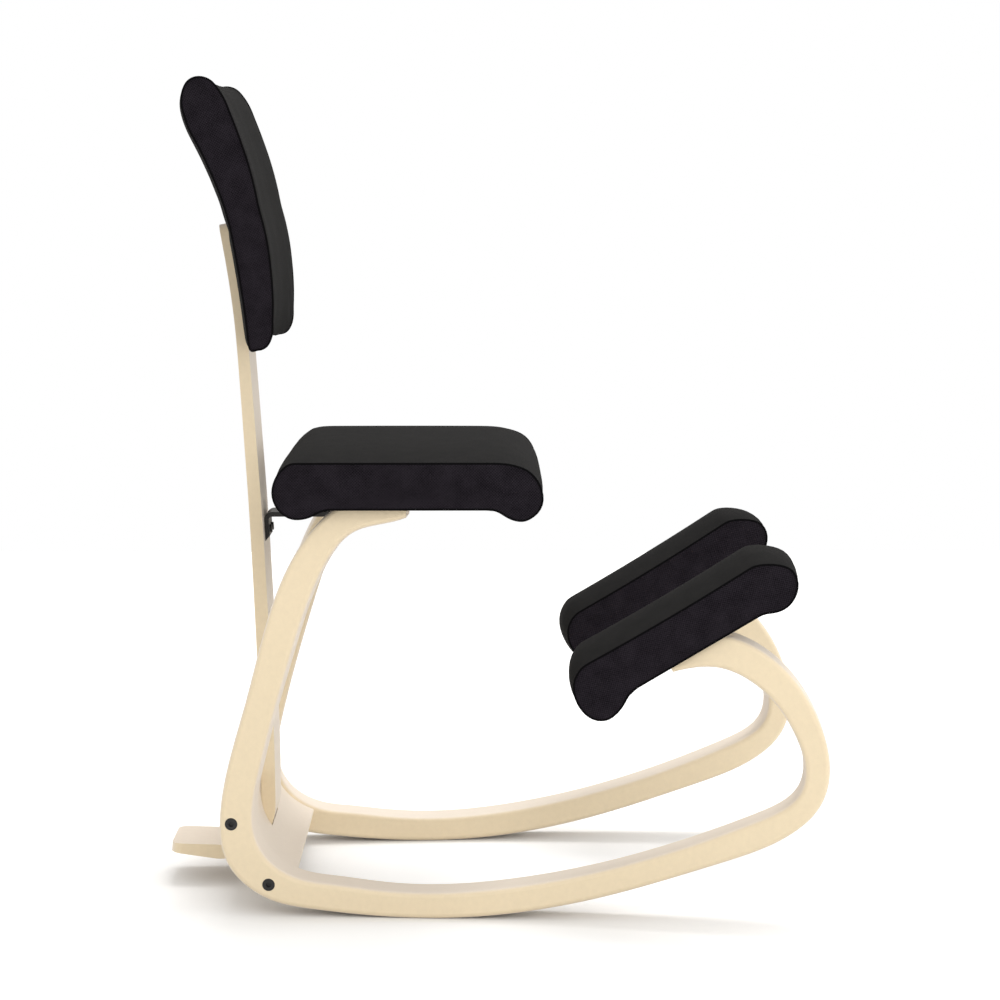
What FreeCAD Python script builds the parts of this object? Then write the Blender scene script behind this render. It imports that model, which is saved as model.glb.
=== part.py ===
import FreeCAD, Part
import math
import os
from FreeCAD import Placement, Rotation, Vector

# A rocking kneeling chair with a padded backrest.
# Frame: +X is the front of the chair, +Y the sitter's left, +Z up, floor at z = 0.
# Every piece is its own solid, drawn in millimetres where it lies on the chair.

doc = FreeCAD.newDocument("rocking_kneeling_chair")
sheet = doc.addObject("Spreadsheet::Sheet", "sizes")

SIZES = [
    ("runner_length", 729.8, "one runner, rear bend to front bend"),
    ("seat_plane_height", 497.0, "floor to the planed tops of the seat arms"),
    ("runner_half_spread", 235.65, "chair middle to a runner's outer face, at x = 0"),
    ("drawing_shift", 1.3, "moves the side view back so that the chair's middle is x = 0"),
    ("runner_width", 52.7, "a runner's width across the chair"),
    ("runner_round", 6.0, "rounding of a runner's long edges"),
    ("toe_out", 3.42, "turn of each runner, wider at the front, in degrees"),
    ("knee_angle", 31.2, "slope of the knee pads, in degrees"),
    ("knee_roll", -2.3, "outward tilt of the knee pads, in degrees below level"),
    ("knee_arm_reach", 73.4, "length of the planed face under a knee pad"),
    ("seat_arm_reach", 85.6, "length of the planed face under the seat"),
    ("crossbar_recess_under", 3.0, "crossbar set in from the runners' outer edge"),
    ("crossbar_recess_top", 2.5, "crossbar set in from the runners' inner edge"),
    ("crossbar_round", 3.0, "rounding of the crossbar's two ends"),
    ("slot_width", 101.0, "slot in the crossbar, across the chair"),
    ("slot_mouth_gap", 2.4, "opening left before the lath at the slot's mouth"),
    ("post_width", 100.0, "back post lath, across the chair"),
    ("post_top_thickness", 13.5, "back post at its top"),
    ("post_foot_thickness", 18.0, "back post where it enters the slot"),
    ("post_rise", 333.5, "post's top above the seat plane"),
    ("post_corner", 14.0, "rounding of the lath's corners"),
    ("post_bend_radius", 60.0, "middle of the lath in its foot bend"),
    ("tail_rise", 5.0, "slope of the tail, in degrees"),
    ("tail_length", 58.3, "straight tail after the bend"),
    ("tail_end_thickness", 11.6, "tail at its end"),
    ("crossbolt_radius", 3.5, "shank of a crossbar bolt"),
    ("crossbolt_head_radius", 7.5, "head of a crossbar bolt"),
    ("crossbolt_head_height", 5.0, "head of a crossbar bolt"),
    ("crossbolt_reach", 26.0, "bolt past the runner's inner face"),
    ("crossbolt_hex", 6.0, "socket of a crossbar bolt, across its flats"),
    ("barrel_nut_radius", 6.0, "cross dowel nut"),
    ("barrel_nut_length", 20.0, "cross dowel nut"),
    ("barrel_nut_inset", 18.0, "cross dowel nut past the runner's inner face"),
    ("hole_clearance", 0.2, "radial room of a bolt in a wooden hole"),
    ("pad_bolt_radius", 3.0, "bolts that hold the pads"),
    ("pad_bolt_head_radius", 6.5, "bolts that hold the pads"),
    ("pad_bolt_head_height", 3.5, "bolts that hold the pads"),
    ("pad_bolt_hex", 4.0, "socket across its flats"),
    ("tee_nut_barrel_radius", 4.2, "tee nut's barrel in its board"),
    ("tee_nut_flange_radius", 9.0, "tee nut's flange on its board"),
    ("tee_nut_flange_height", 1.5, "tee nut's flange"),
    ("seat_bolt_first", 22.0, "first seat bolt from the arm's tip"),
    ("seat_bolt_pitch", 36.0, "between the two seat bolts of one arm"),
    ("knee_bolt_first", 20.0, "first knee bolt from the arm's tip"),
    ("knee_bolt_pitch", 32.0, "between the two knee bolts of one arm"),
    ("bolt_depth_in_arm", 8.0, "wood left between a bolt's head and the planed face"),
    ("seat_length", 322.0, "seat cushion, rear to front"),
    ("seat_width", 490.0, "seat cushion, across the chair"),
    ("seat_depth", 55.3, "seat cushion, planed face to top seam"),
    ("seat_crown", 6.5, "rise of the seat's middle above its seams"),
    ("seat_overhang", 73.8, "seat cushion's rear end behind the arm's ridge"),
    ("seat_board_length", 236.0, "plywood in the seat"),
    ("seat_board_width", 472.0, "plywood in the seat"),
    ("seat_board_thickness", 12.0, "plywood in the seat"),
    ("knee_length", 301.0, "knee pad along its slope"),
    ("knee_width", 125.0, "knee pad across"),
    ("knee_depth", 54.5, "knee pad, planed face to top seam"),
    ("knee_crown", 8.0, "rise of a knee pad's middle above its seams"),
    ("knee_overhang", 116.6, "knee pad's lower end below the arm's tip"),
    ("knee_outboard", 12.0, "knee pad past the runner's outer face"),
    ("knee_board_length", 226.0, "plywood in a knee pad"),
    ("knee_board_width", 110.0, "plywood in a knee pad"),
    ("knee_board_thickness", 10.0, "plywood in a knee pad"),
    ("board_corner", 10.0, "rounding of the boards' corners"),
    ("board_inset", 43.0, "cushion's end to the end of its board"),
    ("cover_thickness", 1.2, "upholstery fabric"),
    ("back_width", 370.0, "back cushion across the chair"),
    ("back_height", 323.5, "back cushion, bottom to top"),
    ("back_drop", 148.5, "back cushion's bottom below the post's top"),
    ("back_crown", 4.0, "rise of the back cushion's middle"),
    ("back_sweep", 12.0, "back cushion's sides forward of its middle"),
    ("back_board_height", 230.0, "plywood in the back"),
    ("back_board_width", 350.0, "plywood in the back"),
    ("back_board_thickness", 9.0, "plywood in the back"),
    ("back_bolt_first", 35.0, "lower back bolt above the cushion's bottom"),
    ("back_bolt_rise", 75.0, "between the lower and upper back bolts"),
    ("back_bolt_spread", 50.0, "between the two bolts of a row"),
    ("bracket_width", 50.0, "steel bracket across the chair"),
    ("bracket_thickness", 6.0, "steel bracket"),
    ("bracket_bend", 4.0, "inner radius of the bracket's bends"),
    ("bracket_shelf_drop", 27.5, "seat plane to the top of the bracket's middle part"),
    ("bracket_post_leg", 36.7, "bracket leg down the post"),
    ("bracket_shelf_length", 80.0, "bracket's middle part"),
    ("bracket_seat_leg", 62.0, "bracket leg under the seat"),
    ("bracket_slant", 45.0, "rise of the bracket up to the seat, in degrees"),
    ("bracket_tip_bevel", 6.0, "slanted lower tip of the bracket"),
    ("post_screw_spread", 26.0, "between the two screws in the post"),
    ("seat_screw_pitch", 28.0, "between the two screws in the seat board"),
    ("back_board_layer", 1.2, "thin foam between the cover and the back board"),
    ("cushion_press", 0.4, "how far the back cushion is pressed onto the post"),
    ("screw_radius", 2.5, "bracket screws"),
    ("screw_head_radius", 5.0, "bracket screws"),
    ("screw_head_height", 2.6, "bracket screws"),
    ("screw_bite", 11.0, "screw length in the wood"),
]
for row, (alias, value, note) in enumerate(SIZES, start=1):
    sheet.set("A%d" % row, note)
    sheet.set("B%d" % row, str(value))
    sheet.setAlias("B%d" % row, alias)
doc.recompute()


def size(alias):
    return float(sheet.get(alias))


# Side view of a runner, (x, z): its outer edge from the seat arm's ridge round the rear
# bend, along the rocker and round the front bend to the knee arm's ridge.
OUTER_EDGE = [
    (-185.0, 497.0), (-205.8, 478.3), (-225.6, 453.3), (-245.3, 418.8), (-263.8, 372.0),
    (-279.0, 319.3), (-293.1, 266.1), (-307.0, 218.2), (-318.6, 174.4), (-324.8, 140.5),
    (-327.1, 110.2), (-325.0, 85.9), (-316.6, 62.1), (-301.1, 42.4), (-281.5, 27.7),
    (-255.7, 16.6), (-219.1, 9.9), (-174.7, 5.0), (-124.7, 1.4), (-74.6, 0.3), (-24.6, 2.2),
    (25.2, 7.4), (84.2, 17.4), (142.4, 31.1), (200.4, 48.0), (257.3, 66.4), (295.0, 79.0),
    (323.0, 89.7), (348.4, 102.3), (368.3, 115.7), (383.9, 130.5), (395.8, 149.0),
    (402.7, 174.1), (402.1, 203.8), (393.8, 235.7), (379.1, 267.9), (359.1, 296.7),
    (334.2, 320.8), (304.5, 338.9), (275.5, 348.6),
]
# The inner edge, from the seat arm's tip to the knee arm's tip.
INNER_EDGE = [
    (-100.6, 485.5), (-134.9, 476.7), (-163.1, 467.8), (-180.7, 452.8), (-192.2, 437.0),
    (-205.0, 413.3), (-220.7, 376.1), (-236.3, 328.7), (-252.2, 275.8), (-267.1, 222.8),
    (-279.1, 174.7), (-285.6, 142.6), (-287.1, 118.6), (-283.3, 95.5), (-271.7, 74.1),
    (-252.5, 57.3), (-225.5, 45.9), (-190.5, 40.8), (-141.3, 34.9), (-91.1, 31.7),
    (-41.4, 33.0), (18.7, 39.3), (78.0, 49.4), (136.4, 62.7), (194.1, 79.2), (250.8, 98.3),
    (297.1, 116.1), (325.3, 127.8), (345.0, 137.6), (359.0, 147.9), (368.6, 160.7),
    (373.3, 177.9), (371.7, 200.1), (362.0, 227.3), (344.3, 257.6), (320.8, 283.1),
    (296.0, 299.8), (270.4, 308.5), (244.3, 308.7), (216.6, 302.9),
]
# Middle line of the back post, (x, z), from its top down to its foot bend.
POST_LINE = [
    (-328.4, 830.5), (-321.4, 793.0), (-315.6, 757.0), (-310.3, 717.0), (-306.6, 677.0),
    (-303.6, 637.0), (-298.6, 562.0), (-293.6, 487.0), (-289.6, 411.0), (-286.6, 347.0),
    (-284.3, 293.0), (-281.8, 223.0), (-280.4, 160.0), (-280.0, 100.0),
]
# Bolt places on a runner's outer face, (x, z).
CROSSBOLTS = [(-312.4, 113.4), (-267.8, 39.6)]
# The crossbar runs between these two heights on the rear bend, upper end and front end.
CROSSBAR_ENDS = [(-304.0, 147.5), (-240.0, 33.0)]
# The slot's rear wall, mouth and far side.
SLOT_REAR_WALL = [(-282.0, 129.0), (-330.0, 66.0)]

# Half sections of the cushions: (x, z, share of the crown). Each one is a closed chain, and
# an arc has a middle point before its end point. x runs from the rear or lower end.
SEAT_SECTION = [
    ("start", (68.0, 0.0, 0.0)),
    ("arc", (61.0, -1.1, 0.0), (54.0, -4.2, 0.0)),
    ("arc", (43.0, -9.6, 0.1), (31.8, -11.4, 0.2)),
    ("arc", (14.5, -7.0, 0.3), (5.5, 4.0, 0.4)),
    ("arc", (1.2, 12.5, 0.4), (0.3, 21.0, 0.5)),
    ("arc", (4.9, 38.0, 0.6), (16.0, 51.6, 0.8)),
    ("arc", (19.6, 54.2, 0.9), (24.5, 55.3, 1.0)),
    ("line", (266.0, 55.3, 1.0)),
    ("arc", (286.0, 53.0, 1.0), (303.0, 47.6, 0.9)),
    ("arc", (312.6, 38.4, 0.8), (318.6, 26.6, 0.6)),
    ("arc", (321.2, 19.0, 0.5), (321.7, 11.0, 0.4)),
    ("arc", (318.3, 0.2, 0.4), (309.5, -8.8, 0.3)),
    ("arc", (302.8, -12.8, 0.2), (295.5, -14.0, 0.2)),
    ("arc", (284.0, -11.8, 0.1), (273.0, -5.5, 0.0)),
    ("arc", (267.0, -1.6, 0.0), (260.0, 0.0, 0.0)),
    ("line", (68.0, 0.0, 0.0)),
]
KNEE_SECTION = [
    ("start", (68.0, 0.0, 0.0)),
    ("arc", (61.0, -1.3, 0.0), (54.0, -4.8, 0.0)),
    ("arc", (41.0, -12.2, 0.1), (26.0, -15.7, 0.2)),
    ("arc", (12.0, -12.0, 0.3), (3.5, -1.5, 0.4)),
    ("arc", (0.4, 9.0, 0.4), (0.3, 20.0, 0.5)),
    ("arc", (3.4, 34.0, 0.6), (10.5, 45.0, 0.8)),
    ("arc", (20.5, 51.8, 0.9), (34.0, 54.5, 1.0)),
    ("arc", (148.0, 52.6, 1.0), (262.0, 54.6, 1.0)),
    ("arc", (278.0, 48.6, 0.9), (290.5, 39.0, 0.8)),
    ("arc", (298.4, 32.2, 0.6), (300.9, 24.0, 0.5)),
    ("arc", (299.2, 13.0, 0.4), (293.0, 3.5, 0.4)),
    ("arc", (282.5, -4.6, 0.3), (269.0, -7.8, 0.2)),
    ("arc", (259.5, -6.8, 0.1), (251.5, -3.6, 0.0)),
    ("arc", (246.8, -1.1, 0.0), (241.0, 0.0, 0.0)),
    ("line", (68.0, 0.0, 0.0)),
]
# The back's section is drawn upright, x forward of the post's front face at its bottom.
BACK_SECTION = [
    ("start", (8.9, 0.0, 0.2)),
    ("arc", (3.5, 0.7, 0.0), (0.4, 5.0, 0.0)),
    ("arc", (-2.6, 32.0, 0.0), (-6.6, 63.0, 0.0)),
    ("arc", (-12.4, 98.0, 0.0), (-19.9, 131.0, 0.0)),
    ("arc", (-25.4, 161.0, 0.0), (-35.4, 190.5, 0.0)),
    ("arc", (-47.3, 219.0, 0.0), (-60.9, 246.5, 0.0)),
    ("arc", (-69.6, 263.0, 0.1), (-75.4, 280.5, 0.2)),
    ("arc", (-77.8, 297.0, 0.3), (-74.2, 311.5, 0.4)),
    ("arc", (-68.2, 320.0, 0.5), (-59.8, 323.5, 0.5)),
    ("arc", (-49.2, 322.8, 0.6), (-40.2, 317.6, 0.7)),
    ("arc", (-29.4, 303.5, 0.8), (-20.6, 283.4, 0.9)),
    ("arc", (-14.2, 267.6, 1.0), (-8.4, 251.5, 1.0)),
    ("arc", (3.6, 214.0, 1.0), (13.3, 169.5, 1.0)),
    ("arc", (22.6, 132.0, 1.0), (27.4, 94.7, 1.0)),
    ("arc", (29.4, 63.0, 1.0), (28.7, 33.5, 1.0)),
    ("arc", (27.2, 15.0, 0.8), (23.8, 7.0, 0.6)),
    ("arc", (18.0, 1.4, 0.4), (8.9, 0.0, 0.2)),
]

drawn_length = 729.8
drawn_height = 497.0
along = size("runner_length") / drawn_length
up = size("seat_plane_height") / drawn_height
seat_plane = size("seat_plane_height")
toe = math.radians(size("toe_out"))
runner_width = size("runner_width")
half_spread = size("runner_half_spread")
clearance = size("hole_clearance")
cover = size("cover_thickness")


def on_frame(x, z):
    """Point of the drawn side view, as (x, z) on the chair."""
    x = x * along - size("drawing_shift")
    if z <= drawn_height:
        return x, z * up
    return x, seat_plane + (z - drawn_height) * size("post_rise") / (830.5 - drawn_height)


def along_runner(x, z):
    """Point of the drawn side view in a runner's own turned plane."""
    fx, fz = on_frame(x, z)
    return Vector(fx / math.cos(toe), 0.0, fz)


def spline(points):
    curve = Part.BSplineCurve()
    curve.interpolate(points)
    return curve


def segment(first, last):
    return Part.LineSegment(first, last).toShape()


def feature(name, shape):
    item = doc.addObject("Part::Feature", name)
    item.Shape = shape
    return item


def node(item, name):
    item.Label = name
    NODES.append(item)
    return item


def boolean(kind, name, base, tool):
    item = doc.addObject(kind, name)
    item.Base = base
    item.Tool = tool
    return item


def group(name, items):
    item = doc.addObject("Part::Compound", name)
    item.Links = items
    return item


def cylinder(name, radius, height, place):
    """Cylinder whose radius and height are expressions on the sheet."""
    item = doc.addObject("Part::Cylinder", name)
    item.setExpression("Radius", radius)
    item.setExpression("Height", height)
    item.Placement = place
    return item


def mirrored(name, source):
    item = doc.addObject("Part::Mirroring", name)
    item.Source = source
    item.Base = Vector(0, 0, 0)
    item.Normal = Vector(0, 1, 0)
    return item


NODES = []

# Each runner stands in a plane turned outward by the toe-out angle. Its own frame has x
# along the runner, y outward from its outer face and z up.
side_place = Placement(Vector(0, half_spread, 0), Rotation(Vector(0, 0, 1), size("toe_out")))

# Runner profile
outer_points = [along_runner(x, z) for x, z in OUTER_EDGE]
inner_points = [along_runner(x, z) for x, z in INNER_EDGE]
lowest = min(p.z for p in spline(outer_points).discretize(1500))
for point in outer_points[6:-6] + inner_points[6:-6]:
    point.z -= lowest
seat_ridge = outer_points[0]
knee_ridge = outer_points[-1]
seat_tip = seat_ridge + Vector(size("seat_arm_reach"), 0, 0)
slope = math.radians(size("knee_angle"))
knee_uphill = Vector(math.cos(slope), 0, math.sin(slope))
knee_tip = knee_ridge - knee_uphill * size("knee_arm_reach")
outer_curve = spline(outer_points)
inner_curve = spline(inner_points)
profile = Part.Wire([
    outer_curve.toShape(),
    segment(knee_ridge, knee_tip),
    segment(knee_tip, inner_points[-1]),
    inner_curve.toShape(),
    segment(inner_points[0], seat_tip),
    segment(seat_tip, seat_ridge),
])
profile_face = feature("runner_profile", Part.Face(profile))
runner_blank = doc.addObject("Part::Extrusion", "runner_blank")
runner_blank.Base = profile_face
runner_blank.DirMode = "Custom"
runner_blank.Dir = Vector(0, -1, 0)
runner_blank.Solid = True
runner_blank.setExpression("LengthFwd", "sizes.runner_width")
doc.recompute()


def long_edges(shape):
    """Numbers of the edges that follow the runner's outer and inner curves."""
    numbers = []
    for number, edge in enumerate(shape.Edges, start=1):
        box = edge.BoundBox
        if box.YLength < 0.01 and edge.Length > 500.0 * along:
            numbers.append(number)
    return numbers


runner_rounded = doc.addObject("Part::Fillet", "runner_rounded")
runner_rounded.Base = runner_blank
rounding = size("runner_round")
runner_rounded.Edges = [(n, rounding, rounding) for n in long_edges(runner_blank.Shape)]
runner_rounded.Placement = side_place

# The knee pad's seat is planed down the slope and rolled a little outward. Its frame has x uphill,
# y outward and z square to the pad, with its origin at the arm's ridge on the outer face.
knee_place = side_place.multiply(Placement(knee_ridge, Rotation(Vector(0, 1, 0), -size("knee_angle"))))
knee_place = knee_place.multiply(Placement(Vector(0, 0, 0), Rotation(Vector(1, 0, 0), size("knee_roll"))))
plane_tool = doc.addObject("Part::Box", "knee_plane_tool")
plane_tool.setExpression("Length", "sizes.knee_arm_reach + 60")
plane_tool.setExpression("Width", "sizes.runner_width * 2")
plane_tool.Height = 40
plane_tool.Placement = knee_place.multiply(
    Placement(Vector(-size("knee_arm_reach") - 30, -runner_width * 1.5, 0), Rotation()))
runner_planed = boolean("Part::Cut", "runner_planed", runner_rounded, plane_tool)


def socket_bolt(name, radius, head_radius, head_height, reach, hex_size):
    """Bolt along -z with its head's top at z = 0 and a hexagonal socket in it."""
    head = cylinder(name + "_head", head_radius, head_height, Placement())
    head.Placement = Placement(Vector(0, 0, -size_of(head_height)), Rotation())
    shank = cylinder(name + "_shank", radius, reach, Placement())
    shank.Placement = Placement(Vector(0, 0, -size_of(reach)), Rotation())
    solid = boolean("Part::Fuse", name + "_body", head, shank)
    hexagon = doc.addObject("Part::Prism", name + "_hex")
    hexagon.Polygon = 6
    hexagon.setExpression("Circumradius", hex_size + " / sqrt(3)")
    hexagon.setExpression("Height", head_height)
    hexagon.Placement = Placement(Vector(0, 0, -0.6 * size_of(head_height)), Rotation())
    return boolean("Part::Cut", name, solid, hexagon)


def size_of(expression):
    """Value of an expression that adds cells of the sheet."""
    total = 0.0
    for word in expression.split("+"):
        word = word.strip()
        total += size(word[6:]) if word.startswith("sizes.") else float(word)
    return total


def copies(name, master, places):
    """One node made of copies of the master's solid, each at its own place."""
    shapes = []
    for place in places:
        shape = master.Shape.copy()
        shape.Placement = place.multiply(master.Shape.Placement)
        shapes.append(shape)
    return feature(name, Part.makeCompound(shapes))


# Crossbar bolts: head flush in the outer face, shank inward along -y of the runner frame.
bolt_turn = Rotation(Vector(1, 0, 0), -90)
bolt_places = []
for x, z in CROSSBOLTS:
    bolt_places.append(side_place.multiply(Placement(along_runner(x, z), bolt_turn)))
crossbolt = socket_bolt(
    "crossbolt", "sizes.crossbolt_radius", "sizes.crossbolt_head_radius",
    "sizes.crossbolt_head_height", "sizes.runner_width + sizes.crossbolt_reach",
    "sizes.crossbolt_hex")
bore_tools = []
for number, place in enumerate(bolt_places, start=1):
    depth = runner_width + size("crossbolt_reach") + 1.0
    back = place.multiply(Placement(Vector(0, 0, -depth), Rotation()))
    bore_tools.append(cylinder(
        "crossbolt_bore_%d" % number, "sizes.crossbolt_radius + sizes.hole_clearance",
        "sizes.runner_width + sizes.crossbolt_reach + 2", back))
    head_back = place.multiply(Placement(Vector(0, 0, -size("crossbolt_head_height")), Rotation()))
    bore_tools.append(cylinder(
        "crossbolt_counterbore_%d" % number, "sizes.crossbolt_head_radius + sizes.hole_clearance",
        "sizes.crossbolt_head_height + 2", head_back))
crossbolt_bores = group("crossbolt_bores", bore_tools)

# Pad bolts go up through the arms: a counterbore from below leaves some wood to clamp.
pad_reach_seat = "sizes.bolt_depth_in_arm + sizes.pad_bolt_head_height + sizes.seat_board_thickness"
pad_reach_knee = "sizes.bolt_depth_in_arm + sizes.pad_bolt_head_height + sizes.knee_board_thickness"
upward = Rotation(Vector(1, 0, 0), 180)
head_gap = size("bolt_depth_in_arm") + size("pad_bolt_head_height")
seat_bolt_frame = side_place.multiply(Placement(Vector(0, -runner_width / 2, 0), Rotation()))
seat_bolt_places = []
knee_bolt_places = []
for step in (0, 1):
    x = seat_tip.x - size("seat_bolt_first") - step * size("seat_bolt_pitch")
    seat_bolt_places.append(seat_bolt_frame.multiply(
        Placement(Vector(x, 0, seat_plane - head_gap), upward)))
    a = -size("knee_arm_reach") + size("knee_bolt_first") + step * size("knee_bolt_pitch")
    knee_bolt_places.append(knee_place.multiply(
        Placement(Vector(a, -runner_width / 2, -head_gap), upward)))
seat_bolt = socket_bolt(
    "seat_bolt", "sizes.pad_bolt_radius", "sizes.pad_bolt_head_radius",
    "sizes.pad_bolt_head_height", pad_reach_seat + " + sizes.cover_thickness",
    "sizes.pad_bolt_hex")
knee_bolt = socket_bolt(
    "knee_bolt", "sizes.pad_bolt_radius", "sizes.pad_bolt_head_radius",
    "sizes.pad_bolt_head_height", pad_reach_knee + " + sizes.cover_thickness",
    "sizes.pad_bolt_hex")
arm_tools = []
for label, places in (("seat", seat_bolt_places), ("knee", knee_bolt_places)):
    for number, place in enumerate(places, start=1):
        bore = place.multiply(Placement(Vector(0, 0, -head_gap - 2), Rotation()))
        arm_tools.append(cylinder(
            "%s_arm_bore_%d" % (label, number), "sizes.pad_bolt_radius + sizes.hole_clearance",
            "sizes.bolt_depth_in_arm + sizes.pad_bolt_head_height + 4", bore))
        sink = place.multiply(Placement(Vector(0, 0, -size("pad_bolt_head_height")), Rotation()))
        arm_tools.append(cylinder(
            "%s_arm_counterbore_%d" % (label, number),
            "sizes.pad_bolt_head_radius + sizes.hole_clearance", "sizes.pad_bolt_head_height + 45",
            sink))
arm_bores = group("arm_bores", arm_tools)
runner_bored = boolean("Part::Cut", "runner_bored", runner_planed, crossbolt_bores)
runner_left = boolean("Part::Cut", "runner_left", runner_bored, arm_bores)
node(runner_left, "runner_left")
node(mirrored("runner_right", runner_left), "runner_right")

# Rear crossbar: a board bent like the runners' rear bend, a little inside their edges.
outer_frame = spline([Vector(p.x * math.cos(toe), 0, p.z) for p in outer_points])
inner_frame = spline([Vector(p.x * math.cos(toe), 0, p.z) for p in inner_points])


def inset_run(curve, first, last, distance, count):
    """Points of the curve from near one point to near another, moved sideways."""
    start = curve.parameter(first)
    stop = curve.parameter(last)
    points = []
    for step in range(count):
        at = start + (stop - start) * step / (count - 1)
        way = curve.tangent(at)[0]
        points.append(curve.value(at) + Vector(-way.z, 0, way.x) * distance)
    return points


bar_top = Vector(on_frame(*CROSSBAR_ENDS[0])[0], 0, on_frame(*CROSSBAR_ENDS[0])[1])
bar_front = Vector(on_frame(*CROSSBAR_ENDS[1])[0], 0, on_frame(*CROSSBAR_ENDS[1])[1])
# Both curves run down and then forward, so the inside of the loop is on their left.
under_points = inset_run(outer_frame, bar_top, bar_front, size("crossbar_recess_under"), 14)
over_points = inset_run(inner_frame, bar_top, bar_front, -size("crossbar_recess_top"), 14)
bar_section = Part.Face(Part.Wire([
    spline(under_points).toShape(),
    segment(under_points[-1], over_points[-1]),
    spline(over_points).toShape(),
    segment(over_points[0], under_points[0]),
]))
bar_profile = feature("crossbar_profile", bar_section)
bar_blank = doc.addObject("Part::Extrusion", "crossbar_blank")
bar_blank.Base = bar_profile
bar_blank.DirMode = "Custom"
bar_blank.Dir = Vector(0, 1, 0)
bar_blank.Solid = True
bar_blank.Symmetric = True
bar_blank.setExpression("LengthFwd", "sizes.runner_half_spread * 2")
doc.recompute()
end_edges = []
for number, edge in enumerate(bar_blank.Shape.Edges, start=1):
    if edge.BoundBox.YLength > half_spread:
        end_edges.append(number)
bar_rounded = doc.addObject("Part::Fillet", "crossbar_rounded")
bar_rounded.Base = bar_blank
end_round = size("crossbar_round")
bar_rounded.Edges = [(n, end_round, end_round) for n in end_edges]

# The runners' inner faces trim the crossbar's ends.
trims = []
for name, way in (("crossbar_trim_left", 1), ("crossbar_trim_right", -1)):
    trim = doc.addObject("Part::Box", name)
    trim.setExpression("Length", "sizes.runner_length")
    trim.setExpression("Width", "sizes.runner_half_spread")
    trim.setExpression("Height", "sizes.seat_plane_height")
    low = 0.0 if way > 0 else -half_spread
    face = Placement(Vector(0, way * half_spread, 0), Rotation(Vector(0, 0, 1), way * size("toe_out")))
    trim.Placement = face.multiply(
        Placement(Vector(-size("runner_length"), low - way * runner_width, -50), Rotation()))
    trims.append(trim)
bar_trimmed = boolean("Part::Cut", "crossbar_trimmed", bar_rounded, group("crossbar_trims", trims))

# Back post: a lath that bends at its foot, passes through the crossbar and ends as a tail.
bend = size("post_bend_radius")
post_points = [Vector(on_frame(x, z)[0], 0, on_frame(x, z)[1]) for x, z in POST_LINE]
foot = post_points[-1]
bend_centre = foot - Vector(bend, 0, 0)
post_curve = Part.BSplineCurve()
post_curve.interpolate(Points=post_points, FinalTangent=Vector(0, 0, -1))
tail_angle = math.radians(size("tail_rise"))
top_thick = size("post_top_thickness")
foot_thick = size("post_foot_thickness")
front_points = []
rear_points = []
samples = 13
for step in range(samples):
    share = step / (samples - 1)
    at = post_curve.FirstParameter + (post_curve.LastParameter - post_curve.FirstParameter) * share
    way = post_curve.tangent(at)[0]
    across = Vector(-way.z, 0, way.x).normalize()
    half = (top_thick + (foot_thick - top_thick) * share) / 2
    front_points.append(post_curve.value(at) + across * half)
    rear_points.append(post_curve.value(at) - across * half)
post_front = Part.BSplineCurve()
post_front.interpolate(Points=front_points)
post_rear = Part.BSplineCurve()
post_rear.interpolate(Points=rear_points)


def bend_point(radius, angle):
    return bend_centre + Vector(math.cos(angle), 0, -math.sin(angle)) * radius


bend_end = math.pi / 2 + tail_angle
outside = bend + foot_thick / 2
inside = bend - foot_thick / 2
tail_way = Vector(-math.cos(tail_angle), 0, math.sin(tail_angle))
tail_up = Vector(math.sin(tail_angle), 0, math.cos(tail_angle))
tail_end = bend_point(bend, bend_end) + tail_way * size("tail_length")
tail_half = size("tail_end_thickness") / 2
front_arc = Part.Arc(front_points[-1], bend_point(outside, bend_end / 2), bend_point(outside, bend_end))
rear_arc = Part.Arc(rear_points[-1], bend_point(inside, bend_end / 2), bend_point(inside, bend_end))
post_section = Part.Face(Part.Wire([
    post_front.toShape(),
    front_arc.toShape(),
    segment(bend_point(outside, bend_end), tail_end - tail_up * tail_half),
    segment(tail_end - tail_up * tail_half, tail_end + tail_up * tail_half),
    segment(tail_end + tail_up * tail_half, bend_point(inside, bend_end)),
    rear_arc.toShape(),
    post_rear.toShape(),
    segment(rear_points[0], front_points[0]),
]))
post_profile = feature("post_profile", post_section)
post_blank = doc.addObject("Part::Extrusion", "post_blank")
post_blank.Base = post_profile
post_blank.DirMode = "Custom"
post_blank.Dir = Vector(0, 1, 0)
post_blank.Solid = True
post_blank.Symmetric = True
post_blank.setExpression("LengthFwd", "sizes.post_width")
doc.recompute()
corner_edges = []
for number, edge in enumerate(post_blank.Shape.Edges, start=1):
    box = edge.BoundBox
    short = edge.Length < foot_thick + 2
    if short and box.YLength < 0.01:
        corner_edges.append(number)
post_rounded = doc.addObject("Part::Fillet", "post_rounded")
post_rounded.Base = post_blank
corner = size("post_corner")
post_rounded.Edges = [(n, corner, corner) for n in corner_edges]

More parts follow.
